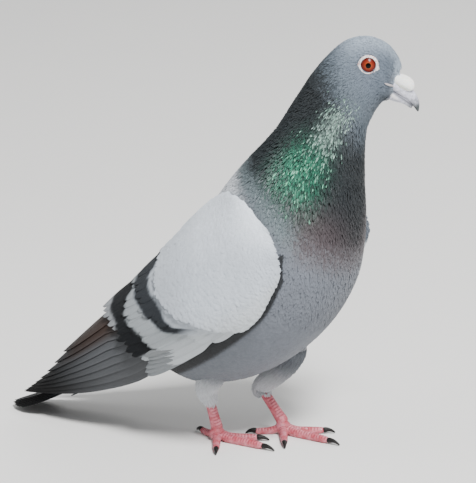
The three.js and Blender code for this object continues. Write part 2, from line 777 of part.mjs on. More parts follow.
for (const [name, side] of [["wing_left", -1], ["wing_right", 1]]) {
  const leg = side > 0 ? LEGS.right : LEGS.left;
  let made = wing(side);
  for (const near of [torsoGrown, neckGrown, thigh(leg, CUT)]) made = made.subtract(near);
  put(name, largest(made), FINISH.wing);
}
put("tail", largest(tail().subtract(torsoGrown)), FINISH.tail);

for (const [side, leg] of Object.entries(LEGS)) {
  const cuff = thigh(leg).subtract(torsoGrown).subtract(tarsus(leg, CUT));
  put("thigh_" + side, largest(cuff), FINISH.thigh);
  put("tarsus_" + side, aboveFloor(tarsus(leg).add(footBall(leg))), FINISH.leg);
  let taken = footBall(leg, CUT).add(tarsus(leg, CUT));
  for (const name of ["middle", "inner", "outer", "hind"]) {
    put(`toe_${name}_${side}`, largest(aboveFloor(toe(leg, name)).subtract(taken)), FINISH.leg);
    put(`claw_${name}_${side}`, claw(leg, name), FINISH.claw);
    taken = taken.add(toe(leg, name, CUT));
  }
}

// The finished model's origin is the middle of its footprint box, on the floor.
const box = new THREE.Box3();
for (const { made } of Object.values(pieces)) {
  const { min, max } = made.boundingBox();
  box.union(new THREE.Box3(new THREE.Vector3(...min), new THREE.Vector3(...max)));
}
const middle = box.getCenter(new THREE.Vector3());

const pigeon = new THREE.Group();
pigeon.position.set(-middle.x, -middle.y, -box.min.z);
for (const [name, { made, material }] of Object.entries(pieces)) {
  const mesh = new THREE.Mesh(geometryOf(made), material);
  mesh.name = name;
  pigeon.add(mesh);
}

export default pigeon;
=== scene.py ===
# %% [markdown]
# # A feral rock pigeon, life size
#
# The bird stands in mid-stride with its head turned a little to its left. Its pieces
# are already built as plain solids, which hold every size. Here they get a skin,
# feathers and finishes. The order is the maker's own: sizes, body, feathers, wings,
# tail, head, feet, and last the stage. Lengths are in millimetres while a shape is
# worked out, and become metres when a mesh is made.

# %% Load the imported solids
import math

import bmesh
import bpy
import numpy as np
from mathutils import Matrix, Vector
from mathutils.kdtree import KDTree


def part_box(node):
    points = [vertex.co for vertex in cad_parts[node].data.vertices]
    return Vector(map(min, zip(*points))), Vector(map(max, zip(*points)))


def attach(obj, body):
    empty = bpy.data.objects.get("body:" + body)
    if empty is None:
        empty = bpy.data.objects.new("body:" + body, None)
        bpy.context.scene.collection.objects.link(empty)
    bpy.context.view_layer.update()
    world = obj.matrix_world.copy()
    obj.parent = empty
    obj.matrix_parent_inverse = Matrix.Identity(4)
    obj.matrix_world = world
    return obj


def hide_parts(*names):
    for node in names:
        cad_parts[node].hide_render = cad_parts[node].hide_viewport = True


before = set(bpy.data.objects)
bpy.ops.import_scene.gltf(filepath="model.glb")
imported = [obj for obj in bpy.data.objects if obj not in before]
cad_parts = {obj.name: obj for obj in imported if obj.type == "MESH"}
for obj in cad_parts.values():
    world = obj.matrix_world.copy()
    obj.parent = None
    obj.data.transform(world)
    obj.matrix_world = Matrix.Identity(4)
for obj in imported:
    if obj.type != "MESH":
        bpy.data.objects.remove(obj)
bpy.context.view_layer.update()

# %% [markdown]
# ## The body's lines
#
# A boat builder draws a hull as frames, cross-sections set one after another, and fairs
# a smooth surface through them. The same works for a bird, because its feathers fair
# the body from tail to bill. Each frame has an upper and a lower point in the middle
# plane, a half width, how much the back is slimmer than the sides, and how far that
# frame has turned with the head.

# %% The frames and a few sizes of the head
BODY_FRAMES = np.array([
    # top x, top z, low x, low z, half width, slim, turn
    [-66, 60, -57, 41, 14, 0, 0],  # tail root
    [-56, 78, -42, 35, 25, 0.1, 0],  # rump
    [-45, 97, -24, 31.5, 34, 0.18, 0],  # vent
    [-33, 115, 1, 37, 40, 0.2, 0],  # loin
    [-22, 131, 25, 51, 44, 0.26, 0],  # mid body
    [-12, 145, 44, 70, 47, 0.26, 0],  # breast
    [-3, 156, 56, 91, 45, 0.22, 0],  # shoulders
    [5, 164.5, 61, 110, 38, 0.1, 0],  # neck base
    [12.5, 172.5, 63, 129, 31.5, 0, 0],  # crop
    [19.5, 181, 63.5, 147, 26.5, 0, 2],  # lower neck
    [26, 191, 64.5, 164, 23, 0, 5],  # mid neck
    [32, 200, 66.5, 178, 20, 0, 10],  # upper neck
    [38, 209, 70, 187, 17.5, 0, 16],  # nape
    [46, 219, 73.5, 193, 16.3, 0, 21],  # back of head
    [56, 227.5, 76, 195.8, 15.2, 0, 24],  # ears
    [67, 230, 77.8, 196.2, 14, 0, 25],  # crown
    [77, 226.8, 79, 196.6, 10.4, 0, 25],  # brow
    [83.3, 220, 80, 197.2, 5.8, 0, 25],  # forehead
    [86, 212.9, 81, 198.5, 4, 0, 25],  # bill base
])
LAST_FRAME = len(BODY_FRAMES) - 1
FULLNESS = 2.2  # superellipse power of every frame
HEAD_AXIS_X = 67.9  # the upright axis that the head has turned about
HEAD_TURN = 25  # degrees to the bird's left
EYE_LEVEL = 217.3  # height of the eyes over the floor
EYE_OUT = 9.2  # from the head's middle plane to the middle of an eyeball
MM = 0.001
print(len(BODY_FRAMES), "frames")

# %% [markdown]
# ## A surface through the frames
#
# A curve that runs through given rows of numbers is enough to get from nineteen frames
# to a smooth surface. It is written once and serves every other line of the bird too.

# %% A curve through rows of numbers
def through(rows, t):
    """Catmull-Rom values through rows spaced one apart, straight on past both ends."""
    rows = np.asarray(rows, float)
    t = np.asarray(t, float)
    i = np.clip(np.floor(t).astype(int), 0, len(rows) - 2)
    u = (t - i).reshape(t.shape + (1,) * (rows.ndim - 1))
    longer = np.concatenate([[2 * rows[0] - rows[1]], rows, [2 * rows[-1] - rows[-2]]])
    a, b, c, d = (longer[i + k] for k in range(4))
    return b + u / 2 * (c - a + u * (2 * a - 5 * b + 4 * c - d + u * (3 * (b - c) + d - a)))


def power(v, exponent):
    """A power that keeps the sign."""
    return np.sign(v) * np.abs(v) ** exponent


# %% [markdown]
# The head has its own directions, because it has turned, and its pieces are placed in
# them: forward to the bill, side to the left, and up, all from between the eyes.

# %% The turned head
def turned(x, y, z, degrees):
    """Points turned about the head's upright axis."""
    a = np.radians(degrees)
    dx = x - HEAD_AXIS_X
    across = dx * np.cos(a) - y * np.sin(a)
    return np.stack([HEAD_AXIS_X + across, dx * np.sin(a) + y * np.cos(a), z + 0 * dx], -1)


def head_point(forward, side, up):
    """A place in the head's own directions, from the middle between the eyes."""
    forward, side, up = np.broadcast_arrays(*(np.asarray(v, float) for v in (forward, side, up)))
    return turned(HEAD_AXIS_X + forward, side, EYE_LEVEL + up, HEAD_TURN)


def in_head(points):
    """Forward, side and up in the head's own directions, for places on the drawing board."""
    a = np.radians(HEAD_TURN)
    x, y, z = np.moveaxis(np.asarray(points, float), -1, 0)
    dx = x - HEAD_AXIS_X
    return np.stack([dx * np.cos(a) + y * np.sin(a), y * np.cos(a) - dx * np.sin(a), z - EYE_LEVEL], -1)


# %% [markdown]
# Each frame is an oval with square shoulders, a superellipse. The solids stand with the
# middle of their box over the origin, and the drawing board doesn't, so one solid whose
# place is known on both says how far the two are apart.

# %% The body's surface, and where the drawing board lies
def body_at(t, angle, out=0.0):
    """A point on the body: frame t, and angle in radians from the left side over the back."""
    t, angle = np.broadcast_arrays(np.asarray(t, float), np.asarray(angle, float))
    top_x, top_z, low_x, low_z, half, slim, turn = np.moveaxis(through(BODY_FRAMES, t), -1, 0)
    grown = 1 + 2 * out / np.hypot(top_x - low_x, top_z - low_z)
    up = power(np.sin(angle), 2 / FULLNESS) * grown / 2
    narrow = 1 - slim * np.maximum(0, np.sin(angle))
    y = power(np.cos(angle), 2 / FULLNESS) * (half * narrow + out)
    x = (top_x + low_x) / 2 + up * (top_x - low_x)
    z = (top_z + low_z) / 2 + up * (top_z - low_z)
    return turned(x, y, z, turn)


low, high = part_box("eye_right")
ORIGIN = np.array((low + high) / 2) / MM - head_point(0, -EYE_OUT, 0)
print("drawing board moved by", ORIGIN.round(3), "mm")


def placed(points):
    """Points on the drawing board, in metres in the frame."""
    return (np.asarray(points) + ORIGIN) * MM


# %% [markdown]
# ## Writing a material as sums
#
# A finish is a small program of nodes. Wrapping each socket in a class that knows how
# to add, multiply and compare lets the program be written as ordinary sums, which are
# far easier to read and change than a list of links.

# %% Sockets that can be reckoned with
class Value:
    """A number that changes over a surface."""

    def __init__(self, finish, socket):
        self.finish, self.socket = finish, socket

    def __add__(self, other):
        return self.finish.reckoned("ADD", self, other)

    def __sub__(self, other):
        return self.finish.reckoned("SUBTRACT", self, other)

    def __rsub__(self, other):
        return self.finish.reckoned("SUBTRACT", other, self)

    def __mul__(self, other):
        return self.finish.reckoned("MULTIPLY", self, other)

    def __truediv__(self, other):
        return self.finish.reckoned("DIVIDE", self, other)

    def __rtruediv__(self, other):
        return self.finish.reckoned("DIVIDE", other, self)

    __radd__ = __add__
    __rmul__ = __mul__

    def between(self, low, high):
        """0 below low, 1 above high, straight in between."""
        slope = 1 / (high - low)
        return self.finish.reckoned("MULTIPLY_ADD", self, slope, -low * slope, clamp=True)


# %% [markdown]
# A finish makes the nodes. Most of its methods name one kind of node, with the few
# settings that this bird needs, and hand back its output as such a value.

# %% A finish and its nodes
class Finish:
    """A material, written node by node."""

    def __init__(self, name, **constants):
        self.material = bpy.data.materials.new(name)
        self.material.use_nodes = True
        self.tree = self.material.node_tree
        self.shader = self.tree.nodes["Principled BSDF"]
        for socket, value in constants.items():
            label = socket.replace("_", " ").title().replace("Ior", "IOR")
            self.shader.inputs[label].default_value = value

    def node(self, kind, settings, inputs, output=0):
        made = self.tree.nodes.new(kind)
        for key, value in settings.items():
            if key == "stops":
                ramp = made.color_ramp
                while len(ramp.elements) < len(value):
                    ramp.elements.new(0.5)
                for element, (place, colour) in zip(ramp.elements, value):
                    element.position, element.color = place, colour
            else:
                setattr(made, key, value)
        for key, value in inputs.items():
            if isinstance(value, Value):
                self.tree.links.new(value.socket, made.inputs[key])
            else:
                made.inputs[key].default_value = value
        return Value(self, made.outputs[output])

    def reckoned(self, operation, *values, clamp=False):
        settings = {"operation": operation, "use_clamp": clamp}
        return self.node("ShaderNodeMath", settings, dict(enumerate(values)))

    def place(self):
        """The place in the object, in metres."""
        return self.node("ShaderNodeTexCoord", {}, {}, "Object")

    def painted(self, name):
        """The colour painted on the points under a name."""
        return self.node("ShaderNodeAttribute", {"attribute_name": name}, {}, "Color")

    def channel(self, name, which):
        """One of the three numbers, Red, Green or Blue, that are painted under a name."""
        return self.node("ShaderNodeSeparateColor", {}, {0: self.painted(name)}, which)

    def map(self, name):
        return self.node("ShaderNodeUVMap", {"uv_map": name}, {}, "UV")

    def noise(self, scale, detail=3, roughness=0.6, at=None):
        inputs = {"Vector": at or self.place(), "Scale": scale, "Detail": detail, "Roughness": roughness}
        return self.node("ShaderNodeTexNoise", {}, inputs)

    def cells(self, scale):
        inputs = {"Vector": self.place(), "Scale": scale}
        return self.node("ShaderNodeTexVoronoi", {}, inputs, "Distance")

    def mix(self, share, a, b, way="MIX"):
        settings = {"data_type": "RGBA", "blend_type": way}
        return self.node("ShaderNodeMix", settings, {0: share, 6: a, 7: b}, 2)

    def shaded(self, colour, amount):
        """A colour made lighter or darker by an amount around one."""
        grey = self.node("ShaderNodeCombineColor", {}, {0: amount, 1: amount, 2: amount})
        return self.mix(1.0, colour, grey, "MULTIPLY")

    def bump(self, height, deep, strength=1.0):
        """A bump whose height of one stands deep metres tall."""
        inputs = {"Height": height, "Distance": deep, "Strength": strength}
        normal = self.node("ShaderNodeBump", {}, inputs)
        self.tree.links.new(normal.socket, self.shader.inputs["Normal"])

    def give(self, socket, value):
        self.tree.links.new(value.socket, self.shader.inputs[socket])


# %% [markdown]
# Colours are easiest to choose as they look on a screen, from 0 to 255. The shader
# reckons with light itself, so each is turned into a linear one first.

# %% Colours as they look on a screen
def colour(r, g, b):
    """A colour given as it looks on a screen, 0 to 255, as the shader's linear one."""
    c = np.array([r, g, b]) / 255
    linear = np.where(c > 0.04045, ((c + 0.055) / 1.055) ** 2.4, c / 12.92)
    return np.array([*linear, 1.0])


# %% [markdown]
# ## The colours of a blue-bar pigeon
#
# The plumage is one pattern laid over the whole bird, so it is worked out by place and
# not piece by piece. Skin and feathers ask the same function, and a gap between two
# feathers shows the right colour under them. Each patch is told by frame number and
# angle.

# %% Colours of head, neck and body
GREY_HEAD = colour(103, 114, 127)
GREY_CROWN = colour(153, 166, 180)
GREY_NAPE = colour(100, 111, 121)
CHARCOAL = colour(40, 45, 48)
THROAT = colour(92, 100, 108)
GREEN = colour(54, 134, 106)
# GLINT_SILVER and GLINT_GREEN are painted highlights on the neck feathers.
GLINT_SILVER = colour(164, 186, 180)
GLINT_GREEN = colour(112, 196, 158)
PURPLE = colour(78, 69, 72)
BREAST = colour(107, 112, 121)
BREAST_HIGH = colour(101, 100, 105)
SHOULDER = colour(98, 110, 114)
# BELLY is darker than BREAST in part as painted shade on the lower body.
BELLY = colour(100, 105, 112)
RUMP = colour(176, 180, 186)
PALE = colour(196, 201, 207)
print("breast", BREAST.round(3), "and pale back", PALE.round(3), "as linear colours")


# %% [markdown]
# Three small curves make every marking: a smooth step for an edge, a hill for a patch
# and a blend that lays one colour over another.

# %% Steps, hills and blends
def step(low, high, x):
    """A smooth step from 0 at low to 1 at high."""
    s = np.clip((x - low) / (high - low), 0, 1)
    return s * s * (3 - 2 * s)


def hill(x, middle, reach):
    """A soft hill, 1 at its middle and near 0 at twice its reach."""
    return np.exp(-(((x - middle) / reach) ** 2))


def blend(a, b, share):
    """Colour a where share is 0 and b where it is 1."""
    return a + (b - a) * np.asarray(share)[..., None]


# %% [markdown]
# The pattern is read from the belly up: grey breast and belly, pale back, then the dark
# neck with its green gloss, and last the head's hood. Later layers cover earlier ones.

# %% The pattern of head, neck and body
def right_side(angle):
    """Degrees from 90 over the back to 270 at the front. Both sides are alike, so the
    left side's angle is mirrored onto the right's."""
    degrees = np.degrees(angle) % 360
    return np.where((degrees > 90) & (degrees < 270), degrees, (540 - degrees) % 360)


def lean(t):
    """Degrees by which the green gloss leans back, further down the neck."""
    return 5.5 * (t - 10)


def body_colour(t, angle, chance):
    """The plumage at frame t and angle, with chance from 0 to 1 for each feather."""
    side = right_side(angle)
    front = step(195, 250, side)
    back = 1 - step(105, 160, side)
    base = blend(BELLY, BREAST, step(2.5, 5, t))
    base = blend(base, RUMP, (1 - step(1.5, 3, t)) * (1 - step(120, 190, side)))
    base = blend(base, PALE, (1 - step(6.2, 7.2, t)) * (1 - step(130, 175, side)))
    edge = t + 0.35 * back - 0.1 * front  # the neck's colours end lower on the breast
    base = blend(base, blend(SHOULDER, BREAST_HIGH, step(185, 212, side)), step(6.4, 7.2, edge))
    base = blend(base, PURPLE, 0.8 * step(6.9, 7.5, edge + 0.8 * (chance - 0.5)) * step(185, 205, side))
    neck = blend(CHARCOAL, THROAT, front * step(10, 12, t) * 0.8)
    neck = blend(neck, PURPLE, hill(t, 7.6, 0.8) * hill(side, 222, 38) * 0.9)
    shine = hill(t, 9.0, 1.2) * hill(side - lean(t), 186, 24)
    neck = blend(neck, GREEN, np.clip(1.2 * shine, 0, 1) * (0.15 + 0.85 * chance))
    made = blend(base, neck, step(7.1, 7.8, edge + 0.3 * (chance - 0.5)))
    head = blend(GREY_HEAD, GREY_CROWN, np.maximum(back, step(16.6, 17.4, t)) * step(12.5, 15, t))
    head = blend(head, THROAT, 0.6 * front * (1 - step(16.5, 17.5, t)))
    head = blend(GREY_NAPE, head, step(12.6, 14.6, t + 0.6 * front))
    hood = np.interp(side, (90, 140, 180, 215, 270), (13.2, 13.0, 12.4, 11.6, 11.3))
    return blend(made, head, step(-0.9, 0.9, t - hood + 0.9 * (chance - 0.5)))


def glint_share(t, angle):
    """How many neck feathers get a painted highlight on the tip, from 0 to 1."""
    side = right_side(angle)
    high = hill(t, 11.3, 1.35) * hill(side, 197, 17)
    low = hill(t, 9.2, 1.1) * hill(side - lean(t), 187, 16)
    return np.clip(0.8 * high + 0.22 * low, 0, 1)


# %% [markdown]
# ## Closed forms from a sphere
#
# A sphere is a handy start for any closed body: its rings become the cross-sections and
# its poles become the two ends. Body, legs, bill, toes and claws are all spheres whose
# points are moved to a place worked out from how far along and how far round they lie.

# %% Spheres drawn out along a path
def mesh_object(name, mesh):
    made = bpy.data.objects.new(name, mesh)
    bpy.context.scene.collection.objects.link(made)
    return made


def smooth_object(name, bm):
    """A smooth-shaded object from a bmesh, which is used up."""
    mesh = bpy.data.meshes.new(name)
    bm.to_mesh(mesh)
    bm.free()
    mesh.shade_smooth()
    return mesh_object(name, mesh)


def turned_outward(bm):
    """Faces turned outward, worked out afresh after the points were moved."""
    bm.normal_update()
    bmesh.ops.recalc_face_normals(bm, faces=bm.faces)


def moved_to(bm, points):
    """The bmesh with its points at these places on the drawing board."""
    for vert, point in zip(bm.verts, placed(points)):
        vert.co = point
    turned_outward(bm)
    return bm


def corners_of(bm):
    return np.array([v.co for v in bm.verts])


def drawn_sphere(around, along, place):
    """A bmesh sphere whose points are moved by place(way along 0 to 1, angle, ring share)."""
    bm = bmesh.new()
    bmesh.ops.create_uvsphere(bm, u_segments=around, v_segments=along, radius=1)
    x, y, z = corners_of(bm).T
    return moved_to(bm, place(0.5 + 0.5 * np.clip(z, -1, 1), np.arctan2(y, x), np.hypot(x, y)))


def round_end(way, sharp):
    """How far a ring shrinks towards the ends of a drawn sphere."""
    return np.sqrt(np.clip(1 - np.abs(2 * way - 1) ** sharp, 0, 1))


# %% [markdown]
# ## Skin
#
# Under the feathers lies one skin from the tail's root to the face, with both thighs
# grown into it. It lies as deep under the body's outline as the coat is thick.

# %% The skin of the body
TAIL_END = -0.3  # in frames, a little past the first
FACE_END = LAST_FRAME + 0.05


def coat_depth(t):
    """How deep the skin lies under the tips of the feathers."""
    return 1.4 + 0.8 * step(6.2, 8.4, t) - 1.4 * step(10.5, 14, t)


def skin_body(way, angle, _):
    t = TAIL_END + (FACE_END - TAIL_END) * way
    ring = body_at(t, angle, -coat_depth(t))
    middle = (body_at(t, 0) + body_at(t, math.pi)) / 2
    return middle + (ring - middle) * round_end(way, 30)[:, None]


# %% [markdown]
# The thighs are tubes about the line from knee to foot. A leg is told by the places of
# its joints, the radius of its thigh and shank at the first four of them, and where its
# toes point, in degrees from straight ahead to the left.

# %% The skin of the thighs
LEGS = {
    "right": {
        "knee": (1, -20, 66), "shin": (-12, -16, 45), "hock": (-20.8, -13, 31),
        "cuff": (-19.7, -10.8, 20.5), "ankle": (-17, -8.5, 6.6), "radii": (10, 7.6, 6.2, 4),
        "toes": {"inner": 22, "middle": -8, "outer": -64, "hind": 150},
    },
    "left": {
        "knee": (20, 17, 65), "shin": (12.5, 19.5, 42), "hock": (-2.6, 17.5, 25.6),
        "cuff": (0.2, 17.2, 20.8), "ankle": (10.3, 18, 6.6), "radii": (10, 7, 5.2, 4),
        "toes": {"inner": -62, "middle": -10, "outer": 28, "hind": -151},
    },
}
LEG_COAT = 1.1  # thickness of the feathers on the legs


def unit(v):
    return v / np.maximum(np.linalg.norm(v, axis=-1, keepdims=True), 1e-9)


def along_path(points, radii, t, angle, out=0.0):
    """A point on a tube round a path: angle from its side over its upper face."""
    centre = through(points, t)
    ahead = unit(through(points, t + 0.4) - through(points, t - 0.4))
    side = unit(np.cross(ahead, [0.0, 1.0, 0.0]))
    up = np.cross(side, ahead)
    r = (through(radii, t) + out)[..., None]
    return centre + r * (side * np.cos(angle)[..., None] - up * np.sin(angle)[..., None])


def thigh_at(leg, t, angle, out=0.0):
    """A point on a thigh: t from knee 0 to cuff 3."""
    path = [leg[k] for k in ("knee", "shin", "hock", "cuff")]
    return along_path(path, leg["radii"], t, angle, out)


def skin_thigh(leg):
    def place(way, angle, _):
        t = 3 * way
        ring = thigh_at(leg, t, angle, -LEG_COAT)
        middle = (thigh_at(leg, t, 0 * angle) + thigh_at(leg, t, 0 * angle + math.pi)) / 2
        return middle + (ring - middle) * round_end(way, 20)[:, None]

    return place


# %% [markdown]
# The three closed forms are fused by a voxel remesh, which leaves no seam where a leg
# leaves the belly. Metaballs would also fuse them, but would swell where they meet.

# %% Fuse the skin
def joined(bms):
    """Several bmeshes as one mesh."""
    whole = bpy.data.meshes.new("whole")
    total = bmesh.new()
    for bm in bms:
        part = bpy.data.meshes.new("part")
        bm.to_mesh(part)
        bm.free()
        total.from_mesh(part)
        bpy.data.meshes.remove(part)
    total.to_mesh(whole)
    total.free()
    return whole


def fused(name, bms, voxel, smoothing=4):
    """Closed forms fused into one surface by a voxel remesh, then smoothed."""
    piece = mesh_object(name, joined(bms))
    remesh = piece.modifiers.new("fuse", "REMESH")
    remesh.mode = "VOXEL"
    remesh.voxel_size = voxel
    remesh.use_smooth_shade = True
    piece.modifiers.new("smooth", "SMOOTH").iterations = smoothing
    graph = bpy.context.evaluated_depsgraph_get()
    rough = piece.data
    piece.data = bpy.data.meshes.new_from_object(piece.evaluated_get(graph))
    piece.data.name = name
    piece.modifiers.clear()
    bpy.data.meshes.remove(rough)
    return piece


thighs = [drawn_sphere(24, 40, skin_thigh(leg)) for leg in LEGS.values()]
skin = fused("skin", [drawn_sphere(96, 150, skin_body), *thighs], voxel=0.0011)

# %% [markdown]
# The remesh forgets which frame and angle a point came from. A guide of known places on
# the body, searched for the nearest one, gives that back, and with it the colour. What
# lies far from every place on the body belongs to a thigh.

# %% Paint the skin
def paint(mesh, name, colours):
    layer = mesh.attributes.new(name, "FLOAT_COLOR", "POINT")
    layer.data.foreach_set("color", np.asarray(colours, np.float32).ravel())


def points_of(mesh):
    co = np.empty(len(mesh.vertices) * 3, np.float32)
    mesh.vertices.foreach_get("co", co)
    return co.reshape(-1, 3).astype(float)


THIGH_COLOUR = colour(206, 209, 214)
guide_t, guide_angle = np.meshgrid(
    TAIL_END + (FACE_END - TAIL_END) * np.linspace(0.002, 0.998, 240),
    np.radians(np.arange(0, 360, 3)),
    indexing="ij",
)
guide = KDTree(guide_t.size)
for i, point in enumerate(placed(body_at(guide_t, guide_angle, -1.5)).reshape(-1, 3)):
    guide.insert(point, i)
guide.balance()
found = [guide.find(p) for p in points_of(skin.data)]
nearest = np.array([index for _, index, _ in found])
apart = np.array([distance for _, _, distance in found]) / MM
skin_t, skin_angle = guide_t.ravel()[nearest], guide_angle.ravel()[nearest]
tone = 0.75 + 0.35 * step(13.5, 15, skin_t)  # the face's coat is thin
skin_colours = body_colour(skin_t, skin_angle, 0.4) * tone[:, None]
paint(skin.data, "Plumage", blend(skin_colours, THIGH_COLOUR, step(3, 8, apart)))

# %% [markdown]
# Down shows between the feathers as a soft, darker version of their own colour, so the
# skin's finish is rough and hazy, with a fine noise.

# %% Finish of the down under the feathers
def dress(piece, material, slot, *nodes):
    """Finish a piece, set it on the one body, and hide the solids that it stands for."""
    piece.data.materials.append(material)
    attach(piece, "root")
    if nodes:
        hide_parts(*nodes)
    print(piece.name + ":", len(piece.data.polygons), "faces")


down = Finish("down under feathers", roughness=0.95, sheen_weight=0.2, sheen_roughness=0.5)
down.give("Base Color", down.shaded(down.painted("Plumage"), 0.65 + 0.45 * down.noise(900)))
down.bump(down.noise(1600, detail=4), 0.0003)
dress(skin, down.material, "body_feathers", "torso", "neck", "head", "thigh_left", "thigh_right")

# %% [markdown]
# ## Small feathers
#
# A pigeon wears thousands of small feathers, each lying over the root of the next one
# behind it. One small closed form, a spindle with a flat underside and a ridge for the
# shaft, is copied over the skin. Each copy is bent to the surface it lies on, because
# its points are placed by the body's own drawing and not by a straight line.

# %% A small feather
def points_and_faces(bm):
    """A small bmesh as two arrays, ready to be copied. The bmesh is used up."""
    points = corners_of(bm)
    faces = np.array([[v.index for v in f.verts] for f in bm.faces])
    bm.free()
    return points, faces


def small_feather(rows, widths):
    """A closed spindle of three sides: x across from -1 to 1, y along 0 to 1, z its ridge."""
    bm = bmesh.new()
    bmesh.ops.create_uvsphere(bm, u_segments=3, v_segments=len(rows) + 1, radius=1)
    heights = sorted({round(v.co.z, 4) for v in bm.verts})
    ways = dict(zip(heights, (0, *rows, 1)))
    wide = dict(zip(heights, (0, *widths, 0)))
    first = next(v.co for v in bm.verts if abs(v.co.z) < 0.99)
    start = math.atan2(first.y, first.x)
    for v in bm.verts:
        key = min(heights, key=lambda h: abs(h - v.co.z))
        angle = math.atan2(v.co.y, v.co.x) - start
        inner = 0 < ways[key] < 1
        x = math.sin(angle) / math.sin(math.radians(120)) if inner else 0
        z = (math.cos(angle) + 0.5) / 1.5 if inner else 0
        v.co = (x * wide[key], ways[key], z * wide[key])
    turned_outward(bm)
    bmesh.ops.triangulate(bm, faces=bm.faces)
    return points_and_faces(bm)


ROUND_FEATHER = small_feather((0.1, 0.5, 0.82, 0.95), (0.5, 1, 0.95, 0.55))
LANCE_FEATHER = small_feather((0.12, 0.45, 0.75, 0.92), (0.5, 1, 0.72, 0.34))
POINTED_FEATHER = small_feather((0.12, 0.5, 0.78, 0.93), (0.6, 1, 0.85, 0.45))
print("a small feather has", len(ROUND_FEATHER[1]), "faces")

# %% [markdown]
# ## Sowing the roots
#
# Random roots would clump and leave bald spots. A sequence built on one irrational
# number fills a square evenly and never in rows. It is stretched over the surface, so
# that each square millimetre gets its share, or more where more is wanted.

# %% Roots spread over a surface
GOLDEN = 1.32471795724  # its powers spread points evenly over a square
SLOPE_STEP = 0.02  # how far apart a surface is asked, to learn its slope
ROWS, COLUMNS = 300, 180  # of the grid that the wanted density is added up on


def even_spread(count, seed=0.5):
    """Points spread evenly over the unit square, never in rows."""
    n = np.arange(1, count + 1)
    return np.mod(seed + n / GOLDEN, 1), np.mod(seed + n / GOLDEN**2, 1)


def slopes(surface, first, second):
    """How the place on a surface changes with each of its two measures."""
    e = SLOPE_STEP
    d1 = (surface(first + e, second) - surface(first - e, second)) / (2 * e)
    d2 = (surface(first, second + e) - surface(first, second - e)) / (2 * e)
    return d1, d2


def sown(surface, across, along, wanted, count, seed=0.5):
    """Roots sown over a surface. across and along are ranges of its two measures, and
    wanted(first, second) says how dense the roots are for each. Returns both measures
    and the root's place on an even unwrap of the surface."""
    first = np.linspace(*across, ROWS + 1)
    second = np.linspace(*along, COLUMNS + 1)
    middles = ((line[1:] + line[:-1]) / 2 for line in (first, second))
    grid_1, grid_2 = np.meshgrid(*middles, indexing="ij")
    d1, d2 = slopes(surface, grid_1, grid_2)
    weight = np.linalg.norm(np.cross(d1, d2), axis=-1) * wanted(grid_1, grid_2)
    p, q = even_spread(count, seed)
    rows = np.concatenate([[0], np.cumsum(weight.sum(1))])
    place_1 = np.interp(p, rows / rows[-1], np.arange(ROWS + 1))
    row = np.minimum(place_1.astype(int), ROWS - 1)
    inside = np.cumsum(weight[row], axis=1)
    inside = np.concatenate([np.zeros((count, 1)), inside], axis=1) / inside[:, -1:]
    column = np.clip((inside < q[:, None]).sum(1) - 1, 0, COLUMNS - 1)
    pick = np.arange(count)
    start, end = inside[pick, column], inside[pick, column + 1]
    place_2 = column + (q - start) / np.maximum(end - start, 1e-9)
    roots_1 = np.interp(place_1, np.arange(ROWS + 1), first)
    roots_2 = np.interp(place_2, np.arange(COLUMNS + 1), second)
    return roots_1, roots_2, np.stack([p, q], -1)


# %% [markdown]
# ## Planting the feathers
#
# A feather lies along a direction in space, but it is bent with the body by stepping
# through the surface's own two measures. So its length and width are first worked out
# as changes of those measures, and each of its points is then asked of the surface.

# %% Lay feathers on a surface
def steps_along(d1, d2, way):
    """How much both measures change over one millimetre in a direction."""
    g11, g12, g22 = (np.sum(a * b, -1) for a, b in ((d1, d1), (d1, d2), (d2, d2)))
    w1, w2 = np.sum(d1 * way, -1), np.sum(d2 * way, -1)
    det = g11 * g22 - g12 * g12
    det = np.maximum(det, 0.02 * np.median(det))
    return (g22 * w1 - g12 * w2) / det, (g11 * w2 - g12 * w1) / det


def planted(surface, shape, roots, lie, length, width, deep, tip, thick):
    """Every feather's points, laid along the surface. lie is its direction in space,
    deep how far its root is sunk, tip how high its end lies and thick its ridge."""
    first, second = roots
    d1, d2 = slopes(surface, first, second)
    outward = unit(surface(first, second, 1.0) - surface(first, second, 0.0))
    normal = unit(np.cross(d1, d2))
    normal = normal * np.sign(np.sum(normal * outward, -1, keepdims=True))
    lie = unit(lie - normal * np.sum(lie * normal, -1, keepdims=True))
    side = np.cross(lie, normal)
    along_1, along_2 = steps_along(d1, d2, lie)
    side_1, side_2 = steps_along(d1, d2, side)
    longest = 2.5 * np.median(np.abs(along_1))  # inside a tight bend the measures bunch up
    along_1, side_1 = np.clip(along_1, -longest, longest), np.clip(side_1, -longest, longest)
    x, y, z = shape.T[:, None, :]
    far = y * length[:, None]
    wide = x * width[:, None] / 2
    at_1 = first[:, None] + far * along_1[:, None] + wide * side_1[:, None]
    at_2 = second[:, None] + far * along_2[:, None] + wide * side_2[:, None]
    rise = -deep[:, None] * (1 - y) + tip[:, None] * y + z * thick[:, None]
    return surface(at_1, at_2, rise)
